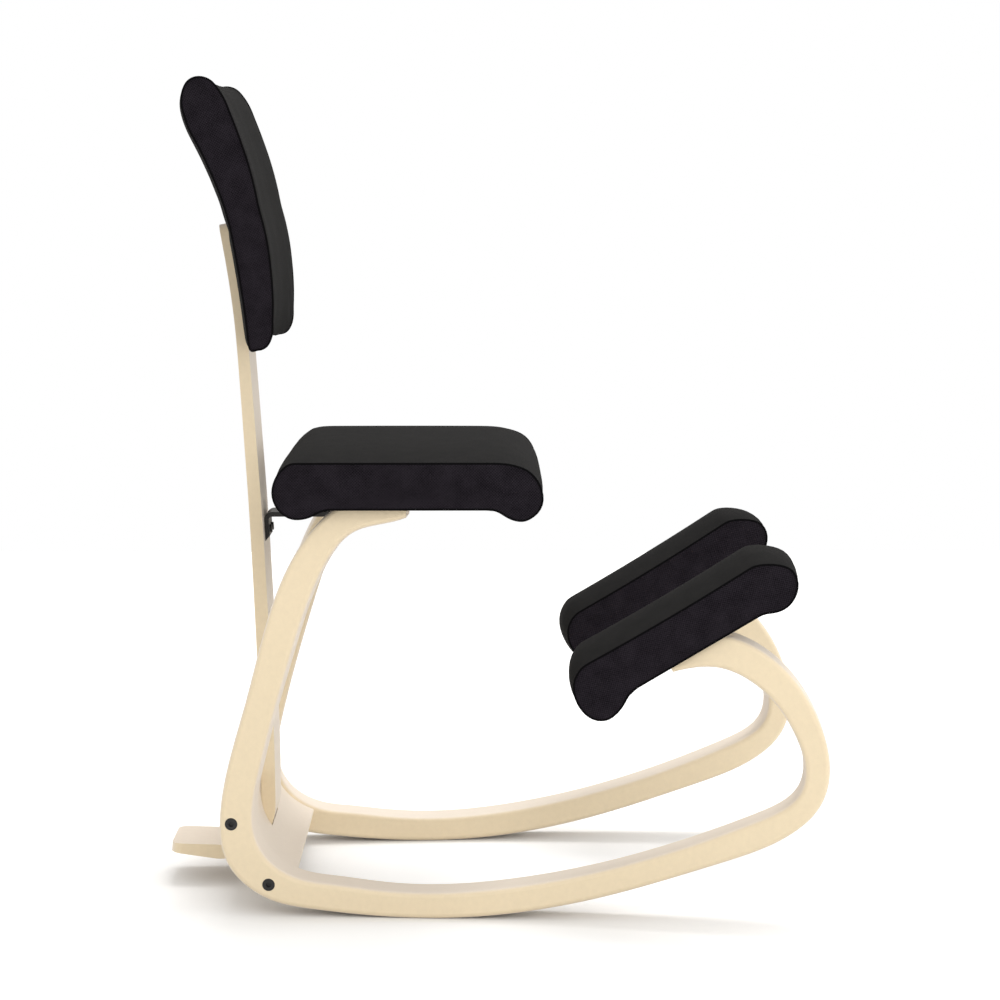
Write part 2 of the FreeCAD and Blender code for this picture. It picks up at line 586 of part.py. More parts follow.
# The slot lets the lath through. Its lower wall carries the lath's bend, its mouth is open
# a little before the lath, and its rear wall stands clear.
mouth = size("slot_mouth_gap")
wall = [Vector(on_frame(x, z)[0], 0, on_frame(x, z)[1]) for x, z in SLOT_REAR_WALL]
bear_start = math.radians(36)
slot_section = Part.Face(Part.Wire([
    segment(wall[0], wall[0] + Vector(60, 0, 0)),
    segment(wall[0] + Vector(60, 0, 0), front_points[-1] + Vector(60, 0, 0)),
    segment(front_points[-1] + Vector(60, 0, 0), front_points[-1] + Vector(mouth, 0, 0)),
    Part.Arc(front_points[-1] + Vector(mouth, 0, 0), bend_point(outside + mouth / 2, bear_start / 2),
             bend_point(outside, bear_start)).toShape(),
    Part.Arc(bend_point(outside, bear_start), bend_point(outside, (bear_start + bend_end) / 2),
             bend_point(outside, bend_end)).toShape(),
    segment(bend_point(outside, bend_end), wall[1]),
    segment(wall[1], wall[0]),
]))
slot_profile = feature("slot_profile", slot_section)
slot_tool = doc.addObject("Part::Extrusion", "slot_tool")
slot_tool.Base = slot_profile
slot_tool.DirMode = "Custom"
slot_tool.Dir = Vector(0, 1, 0)
slot_tool.Solid = True
slot_tool.Symmetric = True
slot_tool.setExpression("LengthFwd", "sizes.slot_width")
bar_open = boolean("Part::Cut", "crossbar_open", bar_trimmed, slot_tool)
bar_slotted = boolean("Part::Cut", "crossbar_slotted", bar_open, post_rounded)

# Barrel nuts lie square to the bent board and across the bolts, in holes from the outside.
nut_left = []
nut_holes_left = []
for number, (x, z) in enumerate(CROSSBOLTS, start=1):
    centre = along_runner(x, z) + Vector(0, -runner_width - size("barrel_nut_inset"), 0)
    flat = Vector(centre.x * math.cos(toe), 0, centre.z)
    near = outer_frame.value(outer_frame.parameter(flat))
    out = (near - flat).normalize()
    turn = Rotation(Vector(0, 0, 1), out)
    place = side_place.multiply(Placement(centre, turn))
    start = place.multiply(Placement(Vector(0, 0, -size("barrel_nut_length") / 2), Rotation()))
    nut_left.append(cylinder(
        "barrel_nut_%d" % number, "sizes.barrel_nut_radius", "sizes.barrel_nut_length", start))
    nut_holes_left.append(cylinder(
        "barrel_nut_hole_%d" % number, "sizes.barrel_nut_radius + sizes.hole_clearance",
        "sizes.barrel_nut_length + 30", start))
side_holes_left = group("crossbar_holes_left", nut_holes_left + [crossbolt_bores])
side_holes_right = mirrored("crossbar_holes_right", side_holes_left)
crossbar = boolean("Part::Cut", "rear_crossbar", bar_slotted,
                   group("crossbar_holes", [side_holes_left, side_holes_right]))
node(crossbar, "rear_crossbar")
doc.recompute()

bolts_left = copies("crossbolts_left", crossbolt, bolt_places)
node(group("crossbar_bolts", [bolts_left, mirrored("crossbolts_right", bolts_left)]), "crossbar_bolts")
nut_bodies = group("barrel_nuts_left", nut_left)
nut_bore = boolean("Part::Cut", "barrel_nuts_bored", nut_bodies, bolts_left)
node(group("crossbar_barrel_nuts", [nut_bore, mirrored("barrel_nuts_right", nut_bore)]),
     "crossbar_barrel_nuts")


def smooth_share(share):
    """Crown's share at a station: full in the middle, none at the side seams."""
    return 1.0 - abs(share) ** 3


def section_wire(section, x_scale, z_scale, crown, inset, y, shift):
    """Closed section wire at one station, crowned outward and drawn in by the inset."""
    loop = []
    for piece in section:
        loop.extend(piece[1:])
    loop = [(px * x_scale, pz * z_scale, weight) for px, pz, weight in loop[:-1]]
    count = len(loop)
    moved = []
    for number, (px, pz, weight) in enumerate(loop):
        before = loop[number - 1]
        after = loop[(number + 1) % count]
        way = Vector(after[0] - before[0], 0, after[1] - before[1]).normalize()
        outward = Vector(way.z, 0, -way.x) * SECTION_HAND
        move = crown * weight - inset
        moved.append(Vector(px + outward.x * move + shift, y, pz + outward.z * move))
    edges = []
    index = 0
    for piece in section[1:]:
        if piece[0] == "line":
            edges.append(segment(moved[index], moved[(index + 1) % count]))
            index += 1
        else:
            edges.append(Part.Arc(moved[index], moved[index + 1], moved[(index + 2) % count]).toShape())
            index += 2
    return Part.Wire(edges)


SECTION_HAND = -1.0
STATIONS = (-1.0, -0.93, -0.75, -0.4, 0.0, 0.4, 0.75, 0.93, 1.0)


def cushion(section, x_scale, z_scale, width, crown, inset, sweep=0.0, flat=0.0):
    """Solid cushion lofted over its stations across the width."""
    half = width / 2 - inset
    wires = []
    for share in STATIONS:
        y = share * half
        beyond = max(0.0, abs(y) - flat) / (width / 2 - flat)
        wires.append(section_wire(
            section, x_scale, z_scale, crown * smooth_share(share), inset, y, sweep * beyond ** 1.6))
    return Part.makeLoft(wires, True, False)


def board(name, length, width, thickness, place):
    """Flat plywood board with rounded corners, centred across, from x = 0."""
    blank = doc.addObject("Part::Box", name + "_blank")
    blank.setExpression("Length", length)
    blank.setExpression("Width", width)
    blank.setExpression("Height", thickness)
    doc.recompute()
    numbers = []
    for number, edge in enumerate(blank.Shape.Edges, start=1):
        if edge.BoundBox.ZLength > 0.9 * blank.Height.Value:
            numbers.append(number)
    rounded = doc.addObject("Part::Fillet", name + "_rounded")
    rounded.Base = blank
    radius = size("board_corner")
    rounded.Edges = [(n, radius, radius) for n in numbers]
    rounded.Placement = place
    return rounded


def tee_nut(name, board_thickness):
    """Tee nut and the room it takes: flange from z = 0 up, barrel down into the board."""
    flange = cylinder(name + "_flange", "sizes.tee_nut_flange_radius", "sizes.tee_nut_flange_height",
                      Placement())
    barrel = cylinder(name + "_barrel", "sizes.tee_nut_barrel_radius", board_thickness + " - 2",
                      Placement())
    depth = size_of(board_thickness) - 2
    barrel.Placement = Placement(Vector(0, 0, -depth), Rotation())
    solid = boolean("Part::Fuse", name + "_solid", flange, barrel)
    bore = cylinder(name + "_bore", "sizes.pad_bolt_radius",
                    board_thickness + " + sizes.tee_nut_flange_height",
                    Placement(Vector(0, 0, -depth - 1), Rotation()))
    return boolean("Part::Cut", name, solid, bore), solid


def upholstered(prefix, outer, inner, place, blank_board, hardware, holes):
    """Board, cover and foam of one cushion, fitted round its bolts and tee nuts."""
    skin = feature(prefix + "_skin", outer.cut(inner))
    skin.Placement = place
    filling = feature(prefix + "_filling", inner)
    filling.Placement = place
    board_item = boolean("Part::Cut", prefix + "_board_piece", blank_board, holes)
    cover_item = boolean("Part::Cut", prefix + "_cover_piece", skin, holes)
    foam_less_board = boolean("Part::Cut", prefix + "_foam_room", filling, blank_board)
    foam_item = boolean("Part::Cut", prefix + "_foam_piece", foam_less_board, hardware)
    return board_item, cover_item, foam_item


# Seat cushion: it lies on both planed arms.
seat_rear = Vector(seat_ridge.x * math.cos(toe) - size("seat_overhang"), 0, seat_plane)
seat_place = Placement(seat_rear, Rotation())
seat_x = size("seat_length") / 322.0
seat_z = size("seat_depth") / 55.3
seat_outer = cushion(SEAT_SECTION, seat_x, seat_z, size("seat_width"), size("seat_crown"), 0.0)
seat_inner = cushion(SEAT_SECTION, seat_x, seat_z, size("seat_width"), size("seat_crown"), cover)
seat_board_place = Placement(
    seat_rear + Vector(size("board_inset"), -size("seat_board_width") / 2, cover), Rotation())
seat_board_blank = board("seat_board", "sizes.seat_board_length", "sizes.seat_board_width",
                         "sizes.seat_board_thickness", seat_board_place)
doc.recompute()


def two_sided(name, master, places):
    """Copies on the left side and their mirror on the right, as one item."""
    left = copies(name + "_left_set", master, places)
    right = mirrored(name + "_right_set", left)
    return group(name, [left, right])


seat_bolts = two_sided("seat_bolts", seat_bolt, seat_bolt_places)
node(seat_bolts, "seat_bolts")
seat_tee, seat_tee_room = tee_nut("seat_tee_nut", "sizes.seat_board_thickness")
doc.recompute()
tee_up = size("seat_board_thickness") + cover + head_gap
seat_tee_places = []
for place in seat_bolt_places:
    seat_tee_places.append(place.multiply(Placement(Vector(0, 0, -tee_up), upward)))
seat_tees = two_sided("seat_tee_nuts", seat_tee, seat_tee_places)
node(seat_tees, "seat_tee_nuts")

# Bracket: a steel strip from the post's front face to the underside of the seat. One face
# of the strip follows these five points, and its thickness lies in front of and below it.
strip = size("bracket_thickness")
shelf_top = seat_plane - size("bracket_shelf_drop")


def post_face(height):
    """Point and forward normal of the post's front face at a height."""
    curve = post_front.discretize(400)
    for upper, lower in zip(curve, curve[1:]):
        if lower.z <= height:
            share = (height - lower.z) / (upper.z - lower.z)
            way = (lower - upper).normalize()
            return lower + (upper - lower) * share, Vector(-way.z, 0, way.x)
    return curve[-1], Vector(1, 0, 0)


leg_foot = post_face(shelf_top - size("bracket_post_leg"))[0]
leg_head = post_face(shelf_top)[0]
slant = math.radians(size("bracket_slant"))
slant_run = size("bracket_shelf_drop") / math.tan(slant)
strip_path = [
    leg_foot,
    leg_head,
    leg_head + Vector(size("bracket_shelf_length"), 0, 0),
    leg_head + Vector(size("bracket_shelf_length") + slant_run, 0, size("bracket_shelf_drop")),
    leg_head + Vector(size("bracket_shelf_length") + slant_run + size("bracket_seat_leg"), 0,
                      size("bracket_shelf_drop")),
]


def offset_path(path, distance):
    """The path moved to its right by a distance, with its corners kept sharp."""
    ways = [(b - a).normalize() for a, b in zip(path, path[1:])]
    rights = [Vector(way.z, 0, -way.x) for way in ways]
    points = [path[0] + rights[0] * distance]
    for number in range(1, len(path) - 1):
        blend = (rights[number - 1] + rights[number]).normalize()
        stretch = distance / blend.dot(rights[number])
        points.append(path[number] + blend * stretch)
    points.append(path[-1] + rights[-1] * distance)
    return points


strip_under = offset_path(strip_path, strip)
leg_way = (leg_head - leg_foot).normalize()
strip_under[0] = strip_under[0] + leg_way * size("bracket_tip_bevel")
bracket_body = doc.addObject("PartDesign::Body", "support_bracket_body")
outline = bracket_body.newObject("Sketcher::SketchObject", "bracket_outline")
for origin_feature in bracket_body.Origin.OriginFeatures:
    if origin_feature.Role == "XZ_Plane":
        outline.AttachmentSupport = [(origin_feature, "")]
outline.MapMode = "FlatFace"
doc.recompute()
corners = strip_path + strip_under[::-1]
flat_corners = [outline.Placement.inverse().multVec(point) for point in corners]
for first, last in zip(flat_corners, flat_corners[1:] + flat_corners[:1]):
    outline.addGeometry(Part.LineSegment(first, last), False)
strip_pad = bracket_body.newObject("PartDesign::Pad", "bracket_strip")
strip_pad.Profile = outline
strip_pad.Midplane = True
strip_pad.setExpression("Length", "sizes.bracket_width")
doc.recompute()


def bend_edges(shape, points):
    names = []
    for number, edge in enumerate(shape.Edges, start=1):
        middle = edge.CenterOfMass
        if edge.BoundBox.YLength > 0.5 * size("bracket_width"):
            for point in points:
                if (Vector(middle.x, 0, middle.z) - point).Length < 0.01:
                    names.append("Edge%d" % number)
    return names


inner_bends = bracket_body.newObject("PartDesign::Fillet", "inner_bends")
inner_bends.Base = (strip_pad, bend_edges(
    strip_pad.Shape, [strip_under[1], strip_path[2], strip_under[3]]))
inner_bends.setExpression("Radius", "sizes.bracket_bend")
doc.recompute()
outer_bends = bracket_body.newObject("PartDesign::Fillet", "outer_bends")
outer_bends.Base = (inner_bends, bend_edges(
    inner_bends.Shape, [strip_path[1], strip_under[2], strip_path[3]]))
outer_bends.setExpression("Radius", "sizes.bracket_bend + sizes.bracket_thickness")
bracket_body.Tip = outer_bends
doc.recompute()


def screw(name):
    """Round-headed screw along -z, its head above z = 0."""
    head = cylinder(name + "_head", "sizes.screw_head_radius", "sizes.screw_head_height", Placement())
    shank = cylinder(name + "_shank", "sizes.screw_radius", "sizes.bracket_thickness + sizes.screw_bite",
                     Placement(Vector(0, 0, -strip - size("screw_bite")), Rotation()))
    return boolean("Part::Fuse", name, head, shank)


leg_middle = (leg_foot + leg_head) * 0.5 - leg_way * size("bracket_bend")
leg_normal = Vector(leg_way.z, 0, -leg_way.x)
post_screw_places = []
for way in (-1, 1):
    spot = leg_middle + leg_normal * strip + Vector(0, way * size("post_screw_spread") / 2, 0)
    post_screw_places.append(Placement(spot, Rotation(Vector(0, 0, 1), leg_normal)))
seat_screw_places = []
leg_centre = (strip_under[3] + strip_under[4]) * 0.5
for way in (-1, 1):
    spot = leg_centre + Vector(way * size("seat_screw_pitch") / 2 + size("bracket_bend"), 0, 0)
    seat_screw_places.append(Placement(spot, Rotation(Vector(0, 0, 1), Vector(0, 0, -1))))
post_screw = screw("post_screw")
seat_screw = screw("seat_screw")
doc.recompute()
post_screws = copies("bracket_post_screws", post_screw, post_screw_places)
seat_screws = copies("bracket_seat_screws", seat_screw, seat_screw_places)
node(post_screws, "bracket_post_screws")
node(seat_screws, "bracket_seat_screws")
all_screws = group("bracket_screws", [post_screws, seat_screws])
node(boolean("Part::Cut", "support_bracket", bracket_body, all_screws), "support_bracket")

seat_rooms = two_sided("seat_tee_rooms", seat_tee_room, seat_tee_places)
seat_hardware = group("seat_hardware", [seat_bolts, seat_rooms, seat_screws])
seat_board, seat_cover, seat_foam = upholstered(
    "seat", seat_outer, seat_inner, seat_place, seat_board_blank, seat_hardware, seat_hardware)
node(seat_board, "seat_board")
node(seat_foam, "seat_foam")
node(seat_cover, "seat_cover")

# Knee pads: each one lies on its own planed arm, sloped and tilted with it.
knee_bolts = two_sided("knee_bolts", knee_bolt, knee_bolt_places)
node(knee_bolts, "knee_bolts")
knee_tee, knee_tee_room = tee_nut("knee_tee_nut", "sizes.knee_board_thickness")
doc.recompute()
knee_tee_up = size("knee_board_thickness") + cover + head_gap
knee_tee_places = []
for place in knee_bolt_places:
    knee_tee_places.append(place.multiply(Placement(Vector(0, 0, -knee_tee_up), upward)))
knee_tees = two_sided("knee_tee_nuts", knee_tee, knee_tee_places)
node(knee_tees, "knee_tee_nuts")
knee_x = size("knee_length") / 301.0
knee_z = size("knee_depth") / 54.5
knee_start = -size("knee_arm_reach") - size("knee_overhang")
knee_middle = size("knee_outboard") - size("knee_width") / 2
pad_place = knee_place.multiply(Placement(Vector(knee_start, knee_middle, 0), Rotation()))
knee_outer = cushion(KNEE_SECTION, knee_x, knee_z, size("knee_width"), size("knee_crown"), 0.0)
knee_inner = cushion(KNEE_SECTION, knee_x, knee_z, size("knee_width"), size("knee_crown"), cover)
knee_board_place = pad_place.multiply(
    Placement(Vector(size("board_inset"), -size("knee_board_width") / 2, cover), Rotation()))
knee_board_blank = board("knee_board", "sizes.knee_board_length", "sizes.knee_board_width",
                         "sizes.knee_board_thickness", knee_board_place)
knee_rooms = two_sided("knee_tee_rooms", knee_tee_room, knee_tee_places)
knee_hardware = group("knee_hardware", [knee_bolts, knee_rooms])
knee_pieces = upholstered(
    "knee", knee_outer, knee_inner, pad_place, knee_board_blank, knee_hardware, knee_hardware)
for piece, name in zip(knee_pieces, ("knee_board", "knee_cover", "knee_foam")):
    node(piece, name + "_left")
    node(mirrored(name + "_right", piece), name + "_right")

# Back cushion: its rear follows the post's front face and its sides come forward.
press = size("cushion_press")
back_bottom = on_frame(0, 830.5)[1] - size("back_drop")
back_anchor = post_face(back_bottom)[0]
back_z = size("back_height") / 323.5


def fitted_back_section():
    """The back's section with its lower rear side laid on the post."""
    fitted = []
    for piece in BACK_SECTION:
        points = []
        for px, pz, weight in piece[1:]:
            height = pz * back_z
            if px < 5.0 and height < size("back_drop"):
                px = post_face(back_bottom + height)[0].x - back_anchor.x - press
            points.append((px, pz, weight))
        fitted.append((piece[0],) + tuple(points))
    return fitted


back_section = fitted_back_section()
back_place = Placement(back_anchor, Rotation())
half_post = size("post_width") / 2
back_outer = cushion(back_section, 1.0, back_z, size("back_width"), size("back_crown"), 0.0,
                     size("back_sweep"), half_post)
back_inner = cushion(back_section, 1.0, back_z, size("back_width"), size("back_crown"), cover,
                     size("back_sweep"), half_post)


def rear_height_x(height):
    """x of the back's rear side at a height above its bottom."""
    chain = []
    for piece in back_section[1:7]:
        chain.extend(piece[1:])
    for (x1, z1, w1), (x2, z2, w2) in zip(chain, chain[1:]):
        if z2 * back_z >= height:
            share = (height - z1 * back_z) / ((z2 - z1) * back_z)
            return x1 + (x2 - x1) * share
    return chain[-1][0]


def back_board_shape():
    """Moulded board, curved like the rear of the cushion, just inside its cover."""
    low = (size("back_height") - size("back_board_height")) / 3
    thick = size("back_board_thickness")
    layer = size("back_board_layer")
    wires = []
    for share in STATIONS:
        y = share * size("back_board_width") / 2
        beyond = max(0.0, abs(y) - half_post) / (size("back_width") / 2 - half_post)
        shift = size("back_sweep") * beyond ** 1.6
        rear = []
        for step in range(7):
            height = low + size("back_board_height") * step / 6
            rear.append(Vector(rear_height_x(height) + press + cover + layer + shift, y, height))
        ahead = [point + Vector(thick, 0, 0) for point in rear]
        wires.append(Part.Wire([
            Part.Arc(rear[0], rear[1], rear[2]).toShape(),
            Part.Arc(rear[2], rear[3], rear[4]).toShape(),
            Part.Arc(rear[4], rear[5], rear[6]).toShape(),
            segment(rear[6], ahead[6]),
            Part.Arc(ahead[6], ahead[5], ahead[4]).toShape(),
            Part.Arc(ahead[4], ahead[3], ahead[2]).toShape(),
            Part.Arc(ahead[2], ahead[1], ahead[0]).toShape(),
            segment(ahead[0], rear[0]),
        ]))
    return Part.makeLoft(wires, True, False)


back_board_blank = feature("back_board_blank", back_board_shape())
back_board_blank.Placement = back_place

# Back bolts: heads sunk flush in the post's rear face, tee nuts on the moulded board's front.
back_bolt_places = []
for row in (0, 1):
    height = back_bottom + size("back_bolt_first") + row * size("back_bolt_rise")
    face, ahead = post_face(height)
    thick = (post_rear.value(post_rear.parameter(face)) - face).Length
    for way in (-1, 1):
        spot = face - ahead * thick
        spot = spot + Vector(0, way * size("back_bolt_spread") / 2, 0)
        back_bolt_places.append((Placement(spot, Rotation(Vector(0, 0, 1), ahead * -1)), thick))
back_bolt = socket_bolt(
    "back_bolt", "sizes.pad_bolt_radius", "sizes.pad_bolt_head_radius",
    "sizes.pad_bolt_head_height",
    "sizes.post_top_thickness + sizes.cover_thickness"
    " + sizes.back_board_layer + sizes.back_board_thickness", "sizes.pad_bolt_hex")
back_tee, back_tee_room = tee_nut("back_tee_nut", "sizes.back_board_thickness")
doc.recompute()
back_bolts = copies("back_bolts", back_bolt, [place for place, thick in back_bolt_places])
node(back_bolts, "back_bolts")
back_tee_places = []
for place, thick in back_bolt_places:
    reach = thick + cover + size("back_board_layer")
    reach += size("back_board_thickness")
    back_tee_places.append(place.multiply(Placement(Vector(0, 0, -reach), upward)))
back_tees = copies("back_tee_nuts", back_tee, back_tee_places)
node(back_tees, "back_tee_nuts")
back_rooms = copies("back_tee_rooms", back_tee_room, back_tee_places)
back_hardware = group("back_hardware", [back_bolts, back_rooms])
recesses = []
for number, place in enumerate(back_tee_places, start=1):
    recesses.append(cylinder("back_tee_recess_%d" % number, "sizes.tee_nut_flange_radius",
                             "sizes.tee_nut_flange_height + 3", place))
back_holes = group("back_holes", [back_hardware] + recesses)
back_board, back_cover_whole, back_foam = upholstered(
    "back", back_outer, back_inner, back_place, back_board_blank, back_hardware, back_holes)
post_screwed = boolean("Part::Cut", "post_screwed", post_rounded, post_screws)
post_bores = []
for number, (place, thick) in enumerate(back_bolt_places, start=1):
    back = place.multiply(Placement(Vector(0, 0, -thick - 2 * size("pad_bolt_head_height")), Rotation()))
    post_bores.append(cylinder("post_bore_%d" % number, "sizes.pad_bolt_radius + sizes.hole_clearance",
                               "sizes.post_foot_thickness * 2", back))
    sunk = place.multiply(Placement(Vector(0, 0, -size("pad_bolt_head_height")), Rotation()))
    post_bores.append(cylinder("post_sink_%d" % number,
                               "sizes.pad_bolt_head_radius + sizes.hole_clearance",
                               "sizes.pad_bolt_head_height * 3", sunk))
back_post = boolean("Part::Cut", "back_post_bored", post_screwed, group("post_bores", post_bores))
node(back_post, "back_post")
node(back_board, "back_board")
node(back_foam, "back_foam")
node(boolean("Part::Cut", "back_cover_fitted", back_cover_whole, post_rounded), "back_cover")

doc.recompute()
faults = []
for item in doc.Objects:
    if "Invalid" in item.State or "Error" in item.State:
        faults.append("%s: %s" % (item.Name, item.State))
for item in NODES:
    if item.Shape.isNull() or not item.Shape.isValid() or not item.Shape.Solids:
        faults.append("%s: no valid solid" % item.Label)
if faults:
    raise RuntimeError("the model did not build: " + "; ".join(faults))

os.makedirs("parts", exist_ok=True)
for item in NODES:
    item.Shape.exportStep(os.path.join("parts", item.Label + ".step"))
    solids = len(item.Shape.Solids)
    print("%-22s solids %d  volume %.1f cm3" % (item.Label, solids, item.Shape.Volume / 1000.0))
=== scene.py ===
# %% [markdown]
# # A rocking kneeling chair
# This notebook dresses a chair whose wooden and steel parts are already modelled.
# The frame below brings those parts in at their real size, in metres, with +X to the
# front of the chair, +Y to the sitter's left and +Z up. What is left to do is the
# upholstery, the finishes and the photograph's light.

# %% Load the frame
import math

import bmesh
import bpy
from mathutils import Matrix, Vector


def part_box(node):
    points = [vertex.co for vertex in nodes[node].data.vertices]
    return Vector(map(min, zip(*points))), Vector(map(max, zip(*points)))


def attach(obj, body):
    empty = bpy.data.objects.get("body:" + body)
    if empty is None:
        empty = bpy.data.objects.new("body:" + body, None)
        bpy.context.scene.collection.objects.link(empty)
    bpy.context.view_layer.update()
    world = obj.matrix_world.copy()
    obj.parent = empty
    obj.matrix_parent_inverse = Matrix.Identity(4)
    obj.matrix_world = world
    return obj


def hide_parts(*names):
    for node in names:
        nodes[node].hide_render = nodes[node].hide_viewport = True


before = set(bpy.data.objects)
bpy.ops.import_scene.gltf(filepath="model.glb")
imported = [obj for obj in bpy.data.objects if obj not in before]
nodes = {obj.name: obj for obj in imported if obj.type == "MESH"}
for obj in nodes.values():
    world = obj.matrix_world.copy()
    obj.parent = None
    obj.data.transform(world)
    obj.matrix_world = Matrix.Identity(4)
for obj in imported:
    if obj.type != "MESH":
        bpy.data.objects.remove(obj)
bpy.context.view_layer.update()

print("nodes:", sorted(nodes))

# %% [markdown]
# ## The camera
# The photograph is a nearly level side view from the sitter's right. Its lens, its place
# and its slight downward look were worked out from the lines of the two runners, so the
# camera gets those numbers.

# %% Camera
SENSOR_WIDTH = 36.0
LENS = 102.63
CAMERA_PLACE = (-0.0112, -3.5851, 0.8816)
LOOK_DOWN = 6.365
TURN_TO_FRONT = 0.360

camera_data = bpy.data.cameras.new("photo_camera")
camera_data.sensor_width = SENSOR_WIDTH
camera_data.lens = LENS
camera = bpy.data.objects.new("photo_camera", camera_data)
bpy.context.scene.collection.objects.link(camera)
camera.location = CAMERA_PLACE
camera.rotation_euler = (math.radians(90.0 - LOOK_DOWN), 0.0, math.radians(-TURN_TO_FRONT))
bpy.context.scene.camera = camera
bpy.context.scene.view_settings.view_transform = "Standard"
print("camera:", LENS, "mm lens,", LOOK_DOWN, "degrees down")

# %% [markdown]
# ## Small helpers
# Operators act on everything that is selected, so each step starts from nothing
# selected. A finished piece has its place in its mesh and its object at the origin.


# %% Object helpers
def select_only(item):
    bpy.ops.object.select_all(action="DESELECT")
    item.select_set(True)
    bpy.context.view_layer.objects.active = item


def settle(item, name):
    """Name a finished piece and move its place into its mesh."""
    item.name = name
    item.data.name = name
    select_only(item)
    bpy.ops.object.transform_apply(location=True, rotation=True, scale=True)
    return item


def apply_modifiers(item):
    select_only(item)
    for modifier in list(item.modifiers):
        bpy.ops.object.modifier_apply(modifier=modifier.name)


# %% [markdown]
# A material is a small network of nodes. Each node is added with a list of what goes
# into its inputs, which is either a plain value or the output of an earlier node. That
# keeps the recipes below short and lets them be read from top to bottom.


# %% Material helpers
def srgb(r, g, b):
    """A colour as read in the photograph, 0 to 255, turned into Blender's linear values."""
    values = []
    for level in (r, g, b):
        c = level / 255.0
        values.append(c / 12.92 if c <= 0.04045 else ((c + 0.055) / 1.055) ** 2.4)
    return (values[0], values[1], values[2], 1.0)


def add_node(tree, kind, inputs=None, **settings):
    """Add a shader node. An input takes a value, or another node's output to link."""
    item = tree.nodes.new("ShaderNode" + kind)
    for setting, value in settings.items():
        setattr(item, setting, value)
    fill_inputs(tree, item, inputs or {})
    return item


def fill_inputs(tree, item, inputs):
    for key, value in inputs.items():
        if isinstance(value, bpy.types.NodeSocket):
            tree.links.new(value, item.inputs[key])
        else:
            item.inputs[key].default_value = value


# %% [markdown]
# ## Floor and backdrop
# The photograph has a white sweep with soft grey shadows under the runners. The floor
# is a wide pale plane. For the camera alone it also glows a little, so that it reads as
# white, but less so close to the runners, where its corners are shut off from the open
# air: there ambient occlusion dims the glow, which paints shade under the runners. What
# the camera sees of the world is plain white, while the light that the world gives stays
# soft and even.

# %% Floor
WHITE = (1.0, 1.0, 1.0, 1.0)
FLOOR_SIZE = 6.4
FLOOR_GREY = (0.80, 0.80, 0.80, 1.0)
FLOOR_GLOW = 0.34
CONTACT_SHADE_REACH = 0.11
CONTACT_SHADE_POWER = 2.6

bpy.ops.object.select_all(action="DESELECT")
bpy.ops.mesh.primitive_plane_add(size=FLOOR_SIZE, location=(0.0, 0.0, 0.0))
floor = settle(bpy.context.object, "floor")
print("floor:", FLOOR_SIZE, "m square")


# %% Floor material
def camera_choice(tree, others, camera_sees, output):
    """Give the camera one shader and all other rays another."""
    rays = add_node(tree, "LightPath")
    choose = add_node(tree, "MixShader", {0: rays.outputs["Is Camera Ray"],
                                          1: others.outputs[0], 2: camera_sees.outputs[0]})
    tree.links.new(choose.outputs[0], output.inputs["Surface"])


floor_material = bpy.data.materials.new("pale_floor")
floor_material.use_nodes = True
tree = floor_material.node_tree
tree.nodes.clear()
output = add_node(tree, "OutputMaterial")
paint = add_node(tree, "BsdfDiffuse", {"Color": FLOOR_GREY})
# Painted shade: ambient occlusion dims the floor's camera glow close under the runners.
corners = add_node(tree, "AmbientOcclusion", {"Distance": CONTACT_SHADE_REACH}, samples=8)
unshaded_share = add_node(tree, "Math", {0: corners.outputs["AO"], 1: CONTACT_SHADE_POWER},
                    operation="POWER")
strength = add_node(tree, "Math", {0: unshaded_share.outputs[0], 1: FLOOR_GLOW},
                    operation="MULTIPLY")
glow = add_node(tree, "Emission", {"Color": WHITE, "Strength": strength.outputs[0]})
both = add_node(tree, "AddShader", {0: paint.outputs[0], 1: glow.outputs[0]})
camera_choice(tree, paint, both, output)
floor.data.materials.append(floor_material)
print("made the material", floor_material.name)

# %% World
WORLD_LIGHT = (1.0, 0.98, 0.945, 1.0)
WORLD_STRENGTH = 0.74

world = bpy.data.worlds.new("studio")
bpy.context.scene.world = world
world.use_nodes = True
tree = world.node_tree
tree.nodes.clear()
output = add_node(tree, "OutputWorld")
soft = add_node(tree, "Background", {"Color": WORLD_LIGHT, "Strength": WORLD_STRENGTH})
white = add_node(tree, "Background", {"Color": WHITE, "Strength": 1.0})
camera_choice(tree, soft, white, output)
print("made the world", world.name)


# %% [markdown]
# ## Lamps
# The photograph's shadows are so soft that no single lamp can be told in them. Four
# large rectangles of light stand round the chair: the main one towards the camera's
# side, one above, one low at the rear and one in front.


# %% Lamps
def lamp(name, place, aim, width, height, watts):
    """A rectangular lamp at a place, turned towards the point it aims at."""
    data = bpy.data.lights.new(name, "AREA")
    data.shape = "RECTANGLE"
    data.size = width
    data.size_y = height
    data.energy = watts
    item = bpy.data.objects.new(name, data)
    bpy.context.scene.collection.objects.link(item)
    item.location = place
    item.rotation_euler = (Vector(aim) - Vector(place)).to_track_quat("-Z", "Y").to_euler()
    print("lamp", name, watts, "W")


lamp("key", (2.0, -5.4, 3.4), (0.0, 0.0, 0.4), 4.2, 3.0, 86.0)
lamp("top", (0.5, 1.8, 5.2), (0.0, 0.0, 0.0), 2.6, 2.0, 150.0)
lamp("fill", (-4.4, -4.8, 1.2), (0.0, 0.0, 0.3), 3.6, 2.0, 45.0)
lamp("front", (5.4, -1.6, 2.4), (0.0, 0.0, 0.4), 3.4, 2.6, 75.0)


# %% [markdown]
# ## Pale bent wood
# The runners, the crossbar and the lath are glued from thin veneers and lacquered matt.
# Their wide faces show a calm, slightly pink veneer, and their cut sides, where the
# layers end, look yellower. The material mixes the two by the way a surface faces in the
# chair's own frame, and adds fine flecks, a faint cloudiness and a little bump.


